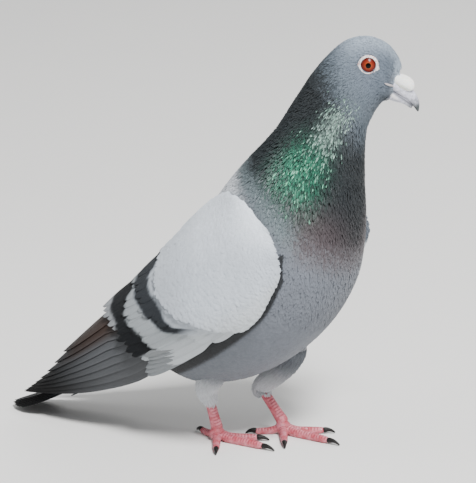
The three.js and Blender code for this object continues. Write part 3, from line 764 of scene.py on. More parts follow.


# %% [markdown]
# Thousands of objects would be slow, so all feathers of a kind become one mesh, filled
# from arrays. Each feather carries its colours on its points, and its own small patch
# of a bake map.

# %% Many feathers as one mesh
def feather_mesh(name, points, faces, colours, unwrap, shape, patch=0.003):
    """Many copies as one mesh, with colour on each point and a bake patch on each copy."""
    count, per = points.shape[:2]
    sides = faces.shape[1]
    mesh = bpy.data.meshes.new(name)
    mesh.vertices.add(count * per)
    mesh.vertices.foreach_set("co", placed(points.reshape(-1, 3)).ravel())
    corners = faces[None] + (np.arange(count) * per)[:, None, None]
    # A copy laid on the left side is a mirror image, so its faces run the other way round.
    first, *others = np.moveaxis(points[:, faces], 2, 0)
    volume = sum(np.sum(first * np.cross(p, q), axis=(1, 2)) for p, q in zip(others, others[1:]))
    corners[volume < 0] = corners[volume < 0][:, :, ::-1]
    corners = corners.reshape(-1)
    mesh.loops.add(len(corners))
    mesh.loops.foreach_set("vertex_index", corners)
    mesh.polygons.add(len(corners) // sides)
    mesh.polygons.foreach_set("loop_start", np.arange(0, len(corners), sides))
    mesh.update(calc_edges=True)
    mesh.polygons.foreach_set("use_smooth", np.ones(len(corners) // sides, bool))
    mesh.set_sharp_from_angle(angle=math.radians(50))
    paint(mesh, "Plumage", colours.reshape(-1, 4))
    bake = mesh.uv_layers.new(name="OFBake")
    spread = np.stack([shape[:, 0] / 2, shape[:, 1] - 0.5], -1) * patch
    uv = 0.01 + 0.98 * unwrap[:, None, :] + spread[None]
    bake.data.foreach_set("uv", uv.reshape(-1, 2)[corners].astype(np.float32).ravel())
    return mesh_object(name, mesh)


def tinted(base, shape, chance, root_dark=0.25, spread=0.12, tip_light=0.06):
    """Colours from root to tip: dark at the sunk root, lighter at the edge, each its own."""
    y = shape[:, 1][None, :]
    tone = (1 - root_dark * (1 - y)) * (1 + spread * (chance[:, None] - 0.5) + tip_light * y**3)
    made = base[:, None, :] * tone[..., None]
    made[..., 3] = 1
    return made


rng = np.random.default_rng(20)


def wobble(count, spread):
    """Small differences between one feather and the next."""
    return rng.normal(0, spread, count)


# %% [markdown]
# ## Finish of the small feathers
#
# A feather's barbs make it dull and a little silky. The finish takes the painted
# colour, breaks it up at two sizes, and adds a very fine grain.

# %% Plumage finish
def plumage_finish(name, gloss=0.62, metal=0.0, grain=0.35):
    made = Finish(
        name, roughness=gloss, metallic=metal,
        specular_ior_level=0.3, sheen_weight=0.08, sheen_roughness=0.4,
    )
    fine = 0.86 * (1 - grain / 2 + grain * made.noise(2600, detail=2))
    broad = 0.9 + 0.2 * made.noise(140, detail=3)
    made.give("Base Color", made.shaded(made.painted("Plumage"), fine * broad))
    made.bump(made.noise(3800, detail=2), 0.00012, strength=0.6)
    return made.material


PLUMAGE = plumage_finish("plumage")
NECK_PLUMAGE = plumage_finish("neck plumage", gloss=0.42, metal=0.15, grain=0.5)


# %% [markdown]
# ## The folded wing's surface
#
# A folded wing is a shallow shield from the wrist at the breast to the crossed tips
# over the tail. It is drawn as three lines, lower edge, side and upper edge, through
# seven places along it. The first measure, a, runs from the wrist at 0 to the tip at
# 6. The second, b, runs from the lower edge at 0 to the upper edge at 1.

# %% Wing lines and surface
WING_LINES = np.array([
    [[39, -46, 104], [41, -49, 116], [32, -46.5, 131.5]],
    [[26.5, -49.5, 83], [21, -53.5, 108.5], [7, -35, 145]],
    [[0, -47.5, 62], [-11, -52, 93.5], [-21, -10, 134.5]],
    [[-27.5, -41, 46], [-42.5, -42, 74], [-54.5, -4.5, 102]],
    [[-57, -32, 32], [-74, -31, 52], [-84, -4.5, 72]],
    [[-93, -25, 20], [-104, -22, 33], [-113, -6, 42]],
    [[-132, -15, 12], [-134, -13.5, 14], [-136.5, -11, 16]],
])
LEFT_WRIST = (5.5, 3.5)  # how far the left wrist is held forward and off the breast
RIGHT, LEFT = 1, -1
SIDE_NAMES = {RIGHT: "right", LEFT: "left"}


def wing_sheet(a, b):
    """A point on the right wing's surface."""
    lines = through(WING_LINES, a)
    low, side, high = (lines[..., k, :] for k in range(3))
    b = np.asarray(b)[..., None]
    return low + (high - low) * b + (side - (low + high) / 2) * 4 * b * (1 - b)


def wing_at(a, b, out=0.0, side=RIGHT):
    """A point on a folded wing, out from its surface."""
    a, b = np.broadcast_arrays(np.asarray(a, float), np.asarray(b, float))
    d1, d2 = slopes(wing_sheet, a, b)
    rise = np.asarray(out, float)
    point = wing_sheet(a, b) + unit(np.cross(d2, d1)) * (rise[..., None] if rise.ndim else rise)
    x, y, z = np.moveaxis(point, -1, 0)
    held = step(-20, 45, x) * (side == LEFT)
    return np.stack([x + LEFT_WRIST[0] * held, side * (y - LEFT_WRIST[1] * held), z], -1)


def wing_height(a):
    """Length of the wing's surface from its lower to its upper edge."""
    rungs = [wing_sheet(a, np.full(np.shape(a), k / 8)) for k in range(9)]
    return sum(np.linalg.norm(q - p, axis=-1) for p, q in zip(rungs, rungs[1:]))


# %% [markdown]
# ## Feathers on body, neck and head
#
# The lie of the feathers runs from the bill to the tail. On the breast it also turns
# down and round to the flank. They are smallest on the face and largest on the back
# and belly.

# %% The lie, and one kind of feather over a stretch of the body
def body_lie(t, angle):
    """Towards the tail along the frames, swept towards the belly on the breast."""
    d1, d2 = slopes(body_at, t, angle)
    side = np.cos(angle)
    sweep = 0.25 * step(2, 5, t) * (1 - step(8, 10, t)) * side * (np.sin(angle) < 0.6)
    return unit(-unit(d1) - unit(d2) * sweep[..., None])


def coat(
    name, slot, span, count, template, material, wanted, length, width, first,
    thick=0.35, seed=0.5, root_dark=0.25, glints=False,
):
    """Feathers over frames span. length and width are each a size at frame first and
    how much it grows from one frame to the next."""
    shape, faces = template
    t, angle, unwrap = sown(body_at, span, (0, 2 * math.pi), wanted, count, seed)
    chance = rng.random(count)
    long, wide = (size + grows * (t - first) for size, grows in (length, width))
    size = 1 + wobble(count, 0.12)
    lie = body_lie(t, angle)
    turn = wobble(count, 0.13)[:, None]
    d1, d2 = slopes(body_at, t, angle)
    normal = unit(np.cross(d1, d2))
    lie = lie + np.cross(normal, lie) * turn
    deep = coat_depth(t) * (0.85 + 0.2 * rng.random(count))
    tip = wobble(count, 0.35 * thick) + 0.05
    points = planted(
        body_at, shape, (t, angle), lie, long * size, wide * size, deep, tip, thick + 0 * t
    )
    base = body_colour(t, angle, chance)
    if glints:
        # a painted sheen lightens the upper neck where the glints are
        painted_sheen = glint_share(t, angle) * step(9.6, 10.8, t)
        base = blend(base, GLINT_SILVER, 0.42 * painted_sheen * (0.4 + 0.9 * chance))
    colours = tinted(base, shape, chance, root_dark)
    # painted shade darkens the feathers under the folded wing and along its lower edge
    colours[..., :3] *= 1 - 0.88 * painted_shade_under_wing(points)[..., None]
    if glints:
        colours = glinting(colours, base, t, angle, shape)
    dress(feather_mesh(name, points, faces, colours, unwrap, shape), material, slot)


# %% [markdown]
# On the neck some feathers catch the light, and their ends get painted highlights, silver high
# on the neck and green lower down, as bright as chance has it. Close under the wing's edge
# all feathers are darkened with painted shade, as in the narrow gap there.

# %% Glints and the shade under the wing
def above_edge(x, z):
    """How far a place lies above the folded wing's lower edge, and below its upper one."""
    low, high = (wing_sheet(np.linspace(5, 0, 60), np.full(60, b)) for b in (0.0, 1.0))
    return z - np.interp(x, low[:, 0], low[:, 2]), np.interp(x, high[:, 0], high[:, 2]) - z


def painted_shade_under_wing(points):
    """Painted shade: 1 under the folded wing and in a strip along its lower edge, 0 elsewhere."""
    x, y, z = np.moveaxis(points, -1, 0)
    over, _ = above_edge(x, z)
    reach = np.interp(x, (-40, 0, 38), (4.6, 3.2, 1.6))
    beside = (np.abs(y) > 12) * (x < 39) * (z < 118)
    return step(-reach - 1.2, -reach + 1.2, over) * beside


def glinting(colours, base, t, angle, shape):
    """Feather colours with painted highlights, silver or green, on some ends."""
    count = len(t)
    lit = rng.random(count) < glint_share(t, angle)
    share = lit[:, None] * step(0.35, 0.8, shape[:, 1])
    sheen = blend(GLINT_SILVER, GLINT_GREEN, step(10.6, 9, t) * 0.7 + 0.3 * rng.random(count))
    sheen = sheen * (0.4 + 0.7 * rng.random(count))[:, None]
    colours = colours + (sheen - base)[:, None] * share[..., None]
    colours[..., 3] = 1
    return colours


# %% [markdown]
# Where a wing lies over the body nearly no feathers are planted, because nobody sees
# them, and none grow round the eyes.

# %% Plant the body, neck and head
def beside_wings(t, angle):
    """1 where the body shows, and nearly 0 where a folded wing covers it."""
    x, y, z = np.moveaxis(body_at(t, angle), -1, 0)
    over, under = above_edge(x, z)
    hidden = step(2, 6, over) * step(3, 7, under) * step(5, 9, np.abs(y)) * (1 - step(18, 26, x))
    return 1 - 0.97 * hidden


def beside_face(t, angle):
    """0 round the eyes and on the cere, 1 elsewhere."""
    points = body_at(t, angle)
    clear = np.ones_like(t)
    for side in (-1, 1):
        away = np.linalg.norm(points - head_point(0, side * (EYE_OUT + 5), 0), axis=-1)
        clear = clear * step(5.0, 5.6, away)
    from_cere = points - head_point(17.5, 0, -10.5)
    return clear * step(5.5, 7, np.linalg.norm(from_cere * [1, 0.8, 1], axis=-1))


def everywhere(t, angle):
    return 1 + 0 * t


coat(
    "body_feathers", "body_feathers", (0.0, 5.2), 7800, ROUND_FEATHER, PLUMAGE, beside_wings,
    length=(9, 0), width=(3.4, 0), first=0, thick=0.16, root_dark=0.09,
)
coat(
    "breast_feathers", "body_feathers", (4.7, 7.6), 7800, ROUND_FEATHER, PLUMAGE, beside_wings,
    length=(8, -0.6), width=(1.7, -0.2), first=5, thick=0.12, seed=0.3, root_dark=0.06,
)
for name, span, seed in (("neck", (7.0, 9.7), 0.7), ("upper_neck", (9.4, 12.8), 0.2)):
    coat(
        name + "_feathers", "neck_feathers", span, 7400, POINTED_FEATHER, NECK_PLUMAGE, everywhere,
        length=(5.4, -0.3), width=(1.0, -0.04), first=7, thick=0.3, seed=seed, glints=True,
    )
coat(
    "head_feathers", "head_feathers", (12.0, LAST_FRAME + 0.15), 8200, LANCE_FEATHER, PLUMAGE,
    beside_face, length=(3.6, -0.28), width=(1.05, -0.06), first=12, thick=0.2, seed=0.9,
)

# %% [markdown]
# ## Trousers
#
# White-grey feathers cover the shank down to a short cuff over the top of the foot's
# scales. They are planted on the leg's own tube in the same way.

# %% Plant the thighs
def thigh_coat(side, leg):
    """Feathers from the belly down to the cuff, which are short and press close there."""
    surface = lambda t, angle, out=0.0: thigh_at(leg, t, angle, out)
    count = 1500
    shape, faces = LANCE_FEATHER

    def wanted(t, angle):
        d1, _ = slopes(surface, t, angle)
        beside, _ = slopes(surface, t, 0 * angle + math.pi / 2)
        stretch = np.linalg.norm(d1, axis=-1) / np.linalg.norm(beside, axis=-1)
        return step(0.2, 0.45, stretch)  # none in the crook of the hock

    t, angle, unwrap = sown(surface, (0.55, 2.95), (0, 2 * math.pi), wanted, count)
    chance = rng.random(count)
    d1, _ = slopes(surface, t, angle)
    at_cuff = step(2.2, 2.9, t)
    length = (5.0 - 1.0 * (t - 1)) * (1 + wobble(count, 0.1)) * (1 - 0.4 * at_cuff)
    points = planted(
        surface, shape, (t, angle), unit(d1), length, 1.3 + 0 * t,
        LEG_COAT + 0 * t, 0.3 + wobble(count, 0.15) - 1.1 * at_cuff, 0.35 + 0 * t,
    )
    # the thigh's top takes the belly's colour, with its painted shade
    base = blend(BELLY, THIGH_COLOUR, step(0.7, 1.9, t))
    colours = tinted(base, shape, chance, root_dark=0.1, spread=0.2)
    piece = feather_mesh("thigh_feathers_" + side, points, faces, colours, unwrap, shape)
    dress(piece, PLUMAGE, "thigh_feathers")


for side_name, leg in LEGS.items():
    thigh_coat(side_name, leg)

# %% [markdown]
# ## The wing's pattern
#
# Blue-bar is the wild pigeon's own pattern: a pale shield crossed by two black bars,
# and dark flight feathers. The edges of the bars are lines that tell how far along
# the wing the bar starts and ends at each height.

# %% Bars, tips and flight feathers
SHIELD = colour(193, 201, 211)
SHIELD_TOP = colour(232, 240, 250)
SHIELD_REAR = colour(172, 179, 186)
BETWEEN = colour(162, 168, 172)
BAR = colour(42, 46, 51)
REAR_BAR = colour(14, 17, 21)
SHIELD_LOW = colour(200, 206, 211)
TERTIAL_TIP = colour(150, 153, 157)
PRIMARY = colour(80, 82, 85)
PRIMARY_DARK = colour(15, 15, 16)
BROWN_PATCH = colour(58, 46, 41)
PRIMARY_COVERT = colour(134, 138, 140)
# Each edge: heights b, and how far along it lies there.
FRONT_BAR_START = (
    (0.12, 0.25, 0.33, 0.41, 0.53, 0.69, 0.77, 0.86, 1.0),
    (1.7, 2.12, 2.5, 2.65, 2.72, 2.97, 3.07, 3.1, 2.95),
)
FRONT_BAR_END = (
    (0.15, 0.235, 0.32, 0.375, 0.49, 0.62, 0.76, 0.93),
    (1.93, 2.3, 2.73, 2.85, 3.0, 3.17, 3.37, 3.45),
)
REAR_BAR_START = (
    (0.19, 0.245, 0.345, 0.46, 0.56, 0.66, 0.78, 0.85),
    (2.95, 3.1, 3.23, 3.33, 3.44, 3.54, 3.57, 3.52),
)
REAR_BAR_END = ((0.22, 0.27, 0.395, 0.56, 0.67, 0.86, 1.0), (3.4, 3.58, 3.65, 3.68, 3.77, 3.93, 3.99))


def edge_at(line, b):
    return np.interp(b, *line)


def wing_colour(a, b, chance):
    """The wing's plumage at (a, b), with chance from 0 to 1 for each feather."""
    shift = 0.05 * (chance - 0.5)
    base = blend(SHIELD, SHIELD_TOP, step(0.55, 0.95, b))
    base = blend(base, SHIELD_LOW, 1 - step(0.05, 0.35, b))
    base = blend(base, SHIELD_REAR, step(1.6, 3.0, a) * 0.6)
    behind = blend(SHIELD_LOW, BETWEEN, step(0.1, 0.3, b))
    base = blend(base, behind, step(-0.05, 0.05, a - edge_at(FRONT_BAR_END, b)))
    dark = step(-0.04, 0.03, a - edge_at(FRONT_BAR_START, b) + shift)
    dark = dark * (1 - step(-0.03, 0.03, a - edge_at(FRONT_BAR_END, b) + shift))
    dark = dark * step(0.2, 0.3, b)
    base = blend(base, BAR, dark)
    dark = step(-0.04, 0.03, a - edge_at(REAR_BAR_START, b) + shift) * step(0.2, 0.24, b)
    base = blend(base, REAR_BAR, dark)
    tips = step(-0.03, 0.03, a - edge_at(REAR_BAR_END, b) + shift) * step(0.55, 0.62, b)
    return blend(base, TERTIAL_TIP, tips)


def flight_colour(a, b, chance):
    """Flight feathers: grey vanes, browner near the back, dark towards their tips."""
    base = blend(PRIMARY, BROWN_PATCH, step(0.5, 0.7, b) * (1 - step(4.7, 5.3, a)))
    return blend(base, PRIMARY_DARK, step(4.3, 5.7, a + 0.2 * chance))


# %% [markdown]
# ## The arm of the wing
#
# Under the coverts the arm and its muscles make a closed shallow body. It sinks away
# under each tier of long feathers, which lie over it like tiles.

# %% Wing core
GREATER_TIPS = (1.75, 2.4, 3, 3.33, 3.45)  # of the greater coverts, at five heights
CORE_START, CORE_END = 0.15, 3.7
CORE_DEPTHS = (1.9, 2.3, 3.2, 4.2, 5.0, 5.4)  # every half step from before those tips on


def greater_tips(b):
    return through(GREATER_TIPS, np.clip(b, 0, 1) * 4)


def core_depth(a, b):
    """How deep the arm lies under the wing's surface."""
    return through(CORE_DEPTHS, np.clip((a - greater_tips(b) + 1.5) * 2, 0, 5))


def wing_core(side):
    """The closed body of one arm."""

    def place(way, angle, _):
        a = CORE_START + (CORE_END - CORE_START) * way
        b = 0.5 + 0.49 * power(np.cos(angle), 0.7) * round_end(way, 10)
        half = (3.5 + 2.5 * (1 - step(1.2, 3.2, a))) * round_end(way, 8)
        inland = power(np.sin(angle), 0.8)
        return wing_at(a, b, -core_depth(a, b) - half + half * inland, side)

    bm = drawn_sphere(64, 72, place)
    bmesh.ops.triangulate(bm, faces=bm.faces)
    return smooth_object("arm_" + SIDE_NAMES[side], bm)


for side, side_name in SIDE_NAMES.items():
    arm = wing_core(side)
    ahead = points_of(arm.data)[:, 0] / MM - ORIGIN[0]
    under_shield = SHIELD * [0.7, 0.7, 0.7, 1]
    # the arm's front is painted paler than the shield's top: partly the pale underwing, partly painted
    # light
    paint(arm.data, "Plumage", blend(under_shield, 1.15 * SHIELD_TOP, step(0, 20, ahead)))
    dress(arm, down.material, "wing_feathers", "wing_" + side_name)

# %% [markdown]
# ## Lesser coverts
#
# The smooth pale shield is made of many small round feathers that lie along the arm.
# They are planted on the wing's surface as the body's are.

# %% Plant the lesser coverts
def lesser_coverts(side):
    """The small round feathers of one wing's shield."""
    surface = lambda a, b, out=0.0: wing_at(a, b, out, side)
    count = 4400
    shape, faces = ROUND_FEATHER
    wanted = lambda a, b: (a < greater_tips(b) - 0.7) * (2.6 - 1.5 * np.minimum(a, 1) - 0.15 * a)
    a, b, unwrap = sown(surface, (0.0, 2.8), (0.005, 0.985), wanted, count)
    chance = rng.random(count)
    d1, d2 = slopes(surface, a, b)
    small = 0.55 + 0.45 * step(0, 0.9, a)  # smallest and neatest along the front edge
    loose = 0.03 + 0.07 * step(0, 0.9, a)
    lie = unit(unit(d1) + unit(d2) * (loose * wobble(count, 1))[:, None])
    length = (7 + 1.4 * a) * small * (1 + loose * wobble(count, 1))
    width = (3.2 + 0.6 * a) * small * (1 + wobble(count, 0.1))
    tip = wobble(count, 0.1)
    points = planted(surface, shape, (a, b), lie, length, width, 1.9 * small, tip, 0.35 + 0 * a)
    base = wing_colour(a + 0.2, b, chance)
    colours = tinted(base, shape, chance, root_dark=0.12, spread=0.07, tip_light=0.03)
    name = "lesser_coverts_" + SIDE_NAMES[side]
    piece = feather_mesh(name, points, faces, colours, unwrap, shape)
    dress(piece, PLUMAGE, "wing_feathers")


for side in SIDE_NAMES:
    lesser_coverts(side)

# %% [markdown]
# ## Long feathers
#
# Coverts, secondaries and primaries are vanes: thin leaves with a shaft down the
# middle. One leaf is made as a grid with a wall, and each feather is that leaf laid on
# the wing along its own lane, with its near edge over the feather below it.

# %% A leaf, and how it is laid on the wing
LAYER = 0.85  # one vane lies this far above the next
VANE_THICK = 0.3
SHAFT_HIGH = 0.22
REAR_RISE = 3.0  # the primaries stand out again to the wing's own outline


def leaf(rows, columns):
    """A closed thin leaf: x from -1 to 1 across, y from 0 to 1 along, z 0 above, -1 below."""
    bm = bmesh.new()
    bmesh.ops.create_grid(bm, x_segments=columns, y_segments=rows, size=1)
    for v in bm.verts:
        v.co.y = ((v.co.y + 1) / 2) ** 0.75
    bmesh.ops.solidify(bm, geom=list(bm.faces), thickness=1)
    turned_outward(bm)
    points, faces = points_and_faces(bm)
    points[:, 2] -= points[:, 2].max()
    return points, faces


VANE, VANE_FACES = leaf(20, 10)
ACROSS, ALONG, ABOVE = VANE.T
VANE_BODY = ABOVE * VANE_THICK + SHAFT_HIGH * hill(ACROSS, 0, 0.14) * (1 - 0.6 * ALONG)
print("a vane has", len(VANE_FACES), "faces")


def outline(root, full, tip):
    """Half width of a vane along its length: narrow at the root, rounded at the tip."""
    grow = root + (1 - root) * step(0, full, ALONG)
    end = np.clip((ALONG - tip) / (1 - tip), 0, 1)
    return grow * np.sqrt(np.clip(1 - end**2, 0.0, 1)) + 0.02


def laid_vane(side, start, end, lane, half, spacing, root, tip, form, fray, layer=LAYER):
    """One vane on the wing. lane, half and spacing are functions of the way along, a."""
    a = start + (end - start) * ALONG
    ragged = 1 + fray * np.sin(23 * ALONG + 200 * fray) * (ALONG > 0.5)
    across = ACROSS * outline(*form) * half(a) * ragged
    height = root + (tip - root) * ALONG - layer / spacing(a) * across
    height = height + REAR_RISE * step(2.9, 4.4, a) + VANE_BODY - 0.3 * ACROSS**2
    b = (lane(a) + across) / wing_height(a)
    return wing_at(a, b, height, side), a, b


# %% [markdown]
# A tier is a row of such feathers side by side. In every one the shaft is a little
# darker than the vane, and the edge differs too, so that each feather can be told from
# its neighbour.

# %% Tiers of feathers
EDGE_LIGHT = {flight_colour: 0.25}  # the edges of flight feathers are lighter, others darker


def tier(side, rows):
    """Points and colours of many vanes, from rows of keyword settings and a colour rule."""
    points, colours = [], []
    edge = np.abs(ACROSS) ** 6
    for row in rows:
        rule = row.pop("colours")
        chance = rng.random()
        made, a, b = laid_vane(side, fray=0.015 * rng.random(), **row)
        tone = (1 + 0.05 * (chance - 0.5)) * (1 + EDGE_LIGHT.get(rule, -0.02) * edge)
        tone = tone * (1 - 0.12 * hill(ACROSS, 0, 0.1))
        tint = rule(a, b, chance) * tone[:, None]
        tint[:, 3] = 1
        points.append(made)
        colours.append(tint)
    return np.array(points), np.array(colours)


def covert_rows(count, low, high, tips, long, root, tip):
    """A tier of coverts between two heights b, which end at tips(b)."""
    gap = (high - low) / (count - 1)
    for k in range(count):
        b = low + k * gap
        end = tips(b) + 0.04 * rng.normal()
        yield dict(
            start=end - long, end=end, lane=lambda a, b=b: b * wing_height(a),
            half=lambda a: 0.8 * gap * wing_height(a), spacing=lambda a: gap * wing_height(a),
            root=root, tip=tip, form=(0.5, 0.3, 0.72), colours=wing_colour, layer=0.4,
        )


# %% [markdown]
# The primaries leave the hand as a fan that is folded nearly shut, so their lanes draw
# together towards the tip. Six stiff coverts lie over their roots.

# %% Primaries
PRIMARY_PLACES = (3, 3.5, 4, 4.5, 5, 5.5, 6.1)  # along the wing
PRIMARY_SPACING = (5.6, 6.0, 5.9, 4.7, 3.5, 2.1, 0.7)
PRIMARY_FIRST = (6.3, 6.3, 6.3, 6.3, 6, 4.8, 3.2)  # the lowest one's shaft above the edge
PRIMARY_HALF = (6.6, 6.8, 6.8, 6.2, 5.4, 4.2, 3.2)
PRIMARY_TIPS = (6.1, 6.07, 6.0, 5.91, 5.79, 5.65, 5.47, 5.27, 5.05)


def at_primary(values):
    return lambda a: np.interp(a, PRIMARY_PLACES, values)


def primary_rows():
    first, spacing = at_primary(PRIMARY_FIRST), at_primary(PRIMARY_SPACING)
    for k, end in enumerate(PRIMARY_TIPS):
        yield dict(
            start=3.0, end=end, lane=lambda a, k=k: first(a) + k * spacing(a),
            half=at_primary(PRIMARY_HALF), spacing=lambda a: np.maximum(spacing(a), 2),
            root=-6.5, tip=-3.4, form=(0.5, 0.3, 0.6), colours=flight_colour,
        )


def primary_covert_colour(a, b, chance):
    return blend(PRIMARY_COVERT, SHIELD_REAR, 0.3 * chance + 0 * a)


def primary_covert_rows():
    for k in range(6):
        yield dict(
            start=2.3, end=3.5 - 0.05 * k + 0.03 * rng.normal(), lane=lambda a, k=k: 3.6 + k * 2.6,
            half=lambda a: 2.9, spacing=lambda a: 2.6, root=-4.0, tip=-0.6,
            form=(0.5, 0.3, 0.6), colours=primary_covert_colour,
        )


# %% [markdown]
# The vane's finish draws its barbs: fine slanting lines that run out from the shaft on
# both sides. They follow the feather, so they are drawn on its own map and not in space.

# %% Vanes as one mesh, and their finish
def vane_mesh(name, points, colours):
    """Vanes as one mesh, each with its own place in both UV maps."""
    count = len(points)
    columns = math.ceil(math.sqrt(count))
    cell = np.stack([np.arange(count) % columns, np.arange(count) // columns], -1) / columns
    piece = feather_mesh(name, points, VANE_FACES, colours, cell, VANE, patch=0)
    mesh = piece.data
    corners = np.empty(len(mesh.loops), np.int32)
    mesh.loops.foreach_get("vertex_index", corners)
    inside = np.stack([(ACROSS + 1) / 2, ALONG], -1) * 0.94 + 0.03
    bake = (cell[:, None] + inside[None] / columns).reshape(-1, 2)[corners]
    mesh.uv_layers["OFBake"].data.foreach_set("uv", bake.astype(np.float32).ravel())
    own = np.broadcast_to(inside, (count, *inside.shape)).reshape(-1, 2)[corners]
    vane_map = mesh.uv_layers.new(name="Vane")
    vane_map.data.foreach_set("uv", own.astype(np.float32).ravel())
    return piece


def vane_finish(name, gloss):
    made = Finish(
        name, roughness=gloss, specular_ior_level=0.12, sheen_weight=0.02, sheen_roughness=0.4
    )
    split = {"Vector": made.map("Vane")}
    across = made.node("ShaderNodeSeparateXYZ", {}, split, "X")
    along = made.node("ShaderNodeSeparateXYZ", {}, split, "Y")
    from_shaft = made.reckoned("ABSOLUTE", across - 0.5)
    slanting = (along * 60 - from_shaft * 24) * 2 * math.pi
    barbs = made.reckoned("SINE", slanting) * 0.5 + 0.5
    grain = made.noise(900, detail=3)
    tone = 0.75 + 0.07 * barbs + 0.18 * (grain - 0.4)
    made.give("Base Color", made.shaded(made.painted("Plumage"), tone))
    made.bump(barbs * 0.6 + grain * 0.4, 0.00015, strength=0.7)
    return made.material


VANES = vane_finish("covert vanes", 0.6)
FLIGHT_VANES = vane_finish("flight vanes", 0.48)

# %% [markdown]
# Five tiers cover the shield from the secondaries up. Each starts further forward than
# the one below it and lies higher, and its tips follow the greater coverts or a bar.

# %% Lay the long feathers on both wings
SECONDARY_TIPS = (
    (0.0, 0.21, 0.26, 0.36, 0.47, 0.56, 0.73, 0.88, 1.0),
    (3.0, 3.4, 3.55, 3.67, 3.72, 3.75, 3.95, 4.1, 4.15),
)
COVERT_TIERS = (
    # how many, lowest and highest b, tips, length in a, height of roots and of tips
    (12, 0.2, 0.97, lambda b: edge_at(SECONDARY_TIPS, b), 1.2, -4.0, -2.0),
    (14, 0.07, 0.97, lambda b: edge_at(REAR_BAR_START, b) + 0.04, 1.15, -3.3, -1.5),
    (14, 0.07, 0.97, greater_tips, 1.1, -2.8, -1.0),
    (16, 0.05, 0.98, lambda b: greater_tips(b) - 0.4, 0.9, -2.2, -0.5),
    (18, 0.04, 0.98, lambda b: greater_tips(b) - 0.75, 0.8, -1.8, -0.15),
)
for side, side_name in SIDE_NAMES.items():
    primaries = [*primary_rows(), *primary_covert_rows()]
    piece = vane_mesh("primaries_" + side_name, *tier(side, primaries))
    dress(piece, FLIGHT_VANES, "wing_feathers")
    coverts = [row for settings in COVERT_TIERS for row in covert_rows(*settings)]
    piece = vane_mesh("long_coverts_" + side_name, *tier(side, coverts))
    dress(piece, VANES, "wing_feathers")

# %% [markdown]
# ## Tail
#
# Twelve tail feathers fold into two stacks under the middle pair. Coverts above and
# below hide their roots, and a closed core carries them all.

# %% Tail surface and core
TAIL_ROOT = np.array([-60, 53])  # ahead and up, in the middle plane
TAIL_TIP = np.array([-149, 3.4])
TAIL_SAG = 4  # of its middle under the straight line from root to tip
TAIL_HALF = 17.5  # half its width at the tip
TAIL_DROOP = 1.5  # of its edges under the middle feathers
TAIL_DARK = colour(13, 14, 15)
TAIL_GREY = colour(66, 70, 76)


def tail_at(s, y, rise=0.0):
    """A point on the tail: s from root 0 to tip 1, y to the left, rise above it."""
    s, y = np.broadcast_arrays(np.asarray(s, float), np.asarray(y, float))
    whole = TAIL_TIP - TAIL_ROOT
    along = whole / np.linalg.norm(whole)
    up = rise - TAIL_DROOP * (y / TAIL_HALF) ** 2 - 4 * TAIL_SAG * s * (1 - s)
    x = TAIL_ROOT[0] + whole[0] * s + up * along[1]
    z = TAIL_ROOT[1] + whole[1] * s - up * along[0]
    return np.stack([x, y, z], -1)


def tail_core(way, angle, _):
    s = -0.06 + 0.5 * way
    ring = round_end(way, 8)
    rise = -3.45 + 4.0 * np.sin(angle) * (1 - 0.2 * way) * ring
    return tail_at(s, 10 * np.cos(angle) * ring, rise)


core = smooth_object("tail_core", drawn_sphere(32, 24, tail_core))
core_grey = TAIL_GREY * [0.6, 0.6, 0.6, 1]
paint(core.data, "Plumage", np.tile(core_grey, (len(core.data.vertices), 1)))
dress(core, down.material, "tail_feathers", "tail")

# %% [markdown]
# The outer feathers lie lowest and furthest out. A vane that would reach over to the
# other stack is held on its own side of the middle, except the uppermost.

# %% Tail feathers and tail coverts
RECTRIX_TIPS = (1, 0.995, 0.99, 0.98, 0.96, 0.925)  # from the middle pair outward
RECTRIX_HALF = 6.5
TAIL_COVERTS = (
    # 1 above or -1 below the tail, lanes, height of root and tip, how far back they reach
    (1, np.linspace(-8, 8, 8), -0.6, 1.6, 0.56),
    (-1, np.linspace(-7.5, 7.5, 7), -6.0, -8.0, 0.66),
    (1, np.linspace(-9, 9, 9), 0.0, 2.2, 0.34),
    (-1, np.linspace(-9, 9, 8), -6.0, -8.4, 0.42),
)


def tail_tint(s):
    """Colours of one tail feather: grey like the rump at its root, nearly black at its end."""
    chance = rng.random()
    grey = blend(TAIL_GREY, RUMP, 1 - step(0.0, 0.3, s))
    tint = blend(grey, TAIL_DARK, step(0.5, 0.8, s + 0.05 * chance)) * (1 + 0.1 * (chance - 0.5))
    tint = tint * (1 - 0.2 * hill(ACROSS, 0, 0.1))[:, None]
    tint[:, 3] = 1
    return tint


def tail_vanes():
    """Points and colours of the tail feathers and their coverts."""
    points, colours = [], []
    for side in (-1, 1):
        for k, end in enumerate(RECTRIX_TIPS):
            layer = k if side < 0 else k + 1
            s = 0.12 + (end + 0.003 * rng.normal() - 0.12) * ALONG
            lane = (0.55 + 0.45 * s) * (3 + (TAIL_HALF - RECTRIX_HALF - 3) * k / 5)
            across = ACROSS * RECTRIX_HALF * outline(0.6, 0.35, 0.72)
            inner = lane - np.abs(across)
            if side > 0 or k > 0:
                inner = np.maximum(0.2, inner)
            at = side * np.where(side * ACROSS > 0, lane + np.abs(across), inner)
            points.append(tail_at(s, at, VANE_BODY - layer * 0.6))
            colours.append(tail_tint(s))
    for under, lanes, root, tip, end in TAIL_COVERTS:
        for lane in lanes:
            s = (end - 0.006 * abs(lane) + 0.01 * rng.normal()) * ALONG
            height = root + (tip - root) * ALONG - under * 0.12 * abs(lane)
            across = ACROSS * 3.6 * outline(0.6, 0.35, 0.7)
            points.append(tail_at(s, lane + across, height + VANE_BODY))
            colours.append(tail_tint(0.7 * s))
    return np.array(points), np.array(colours)


dress(vane_mesh("tail_feathers", *tail_vanes()), FLIGHT_VANES, "tail_feathers")

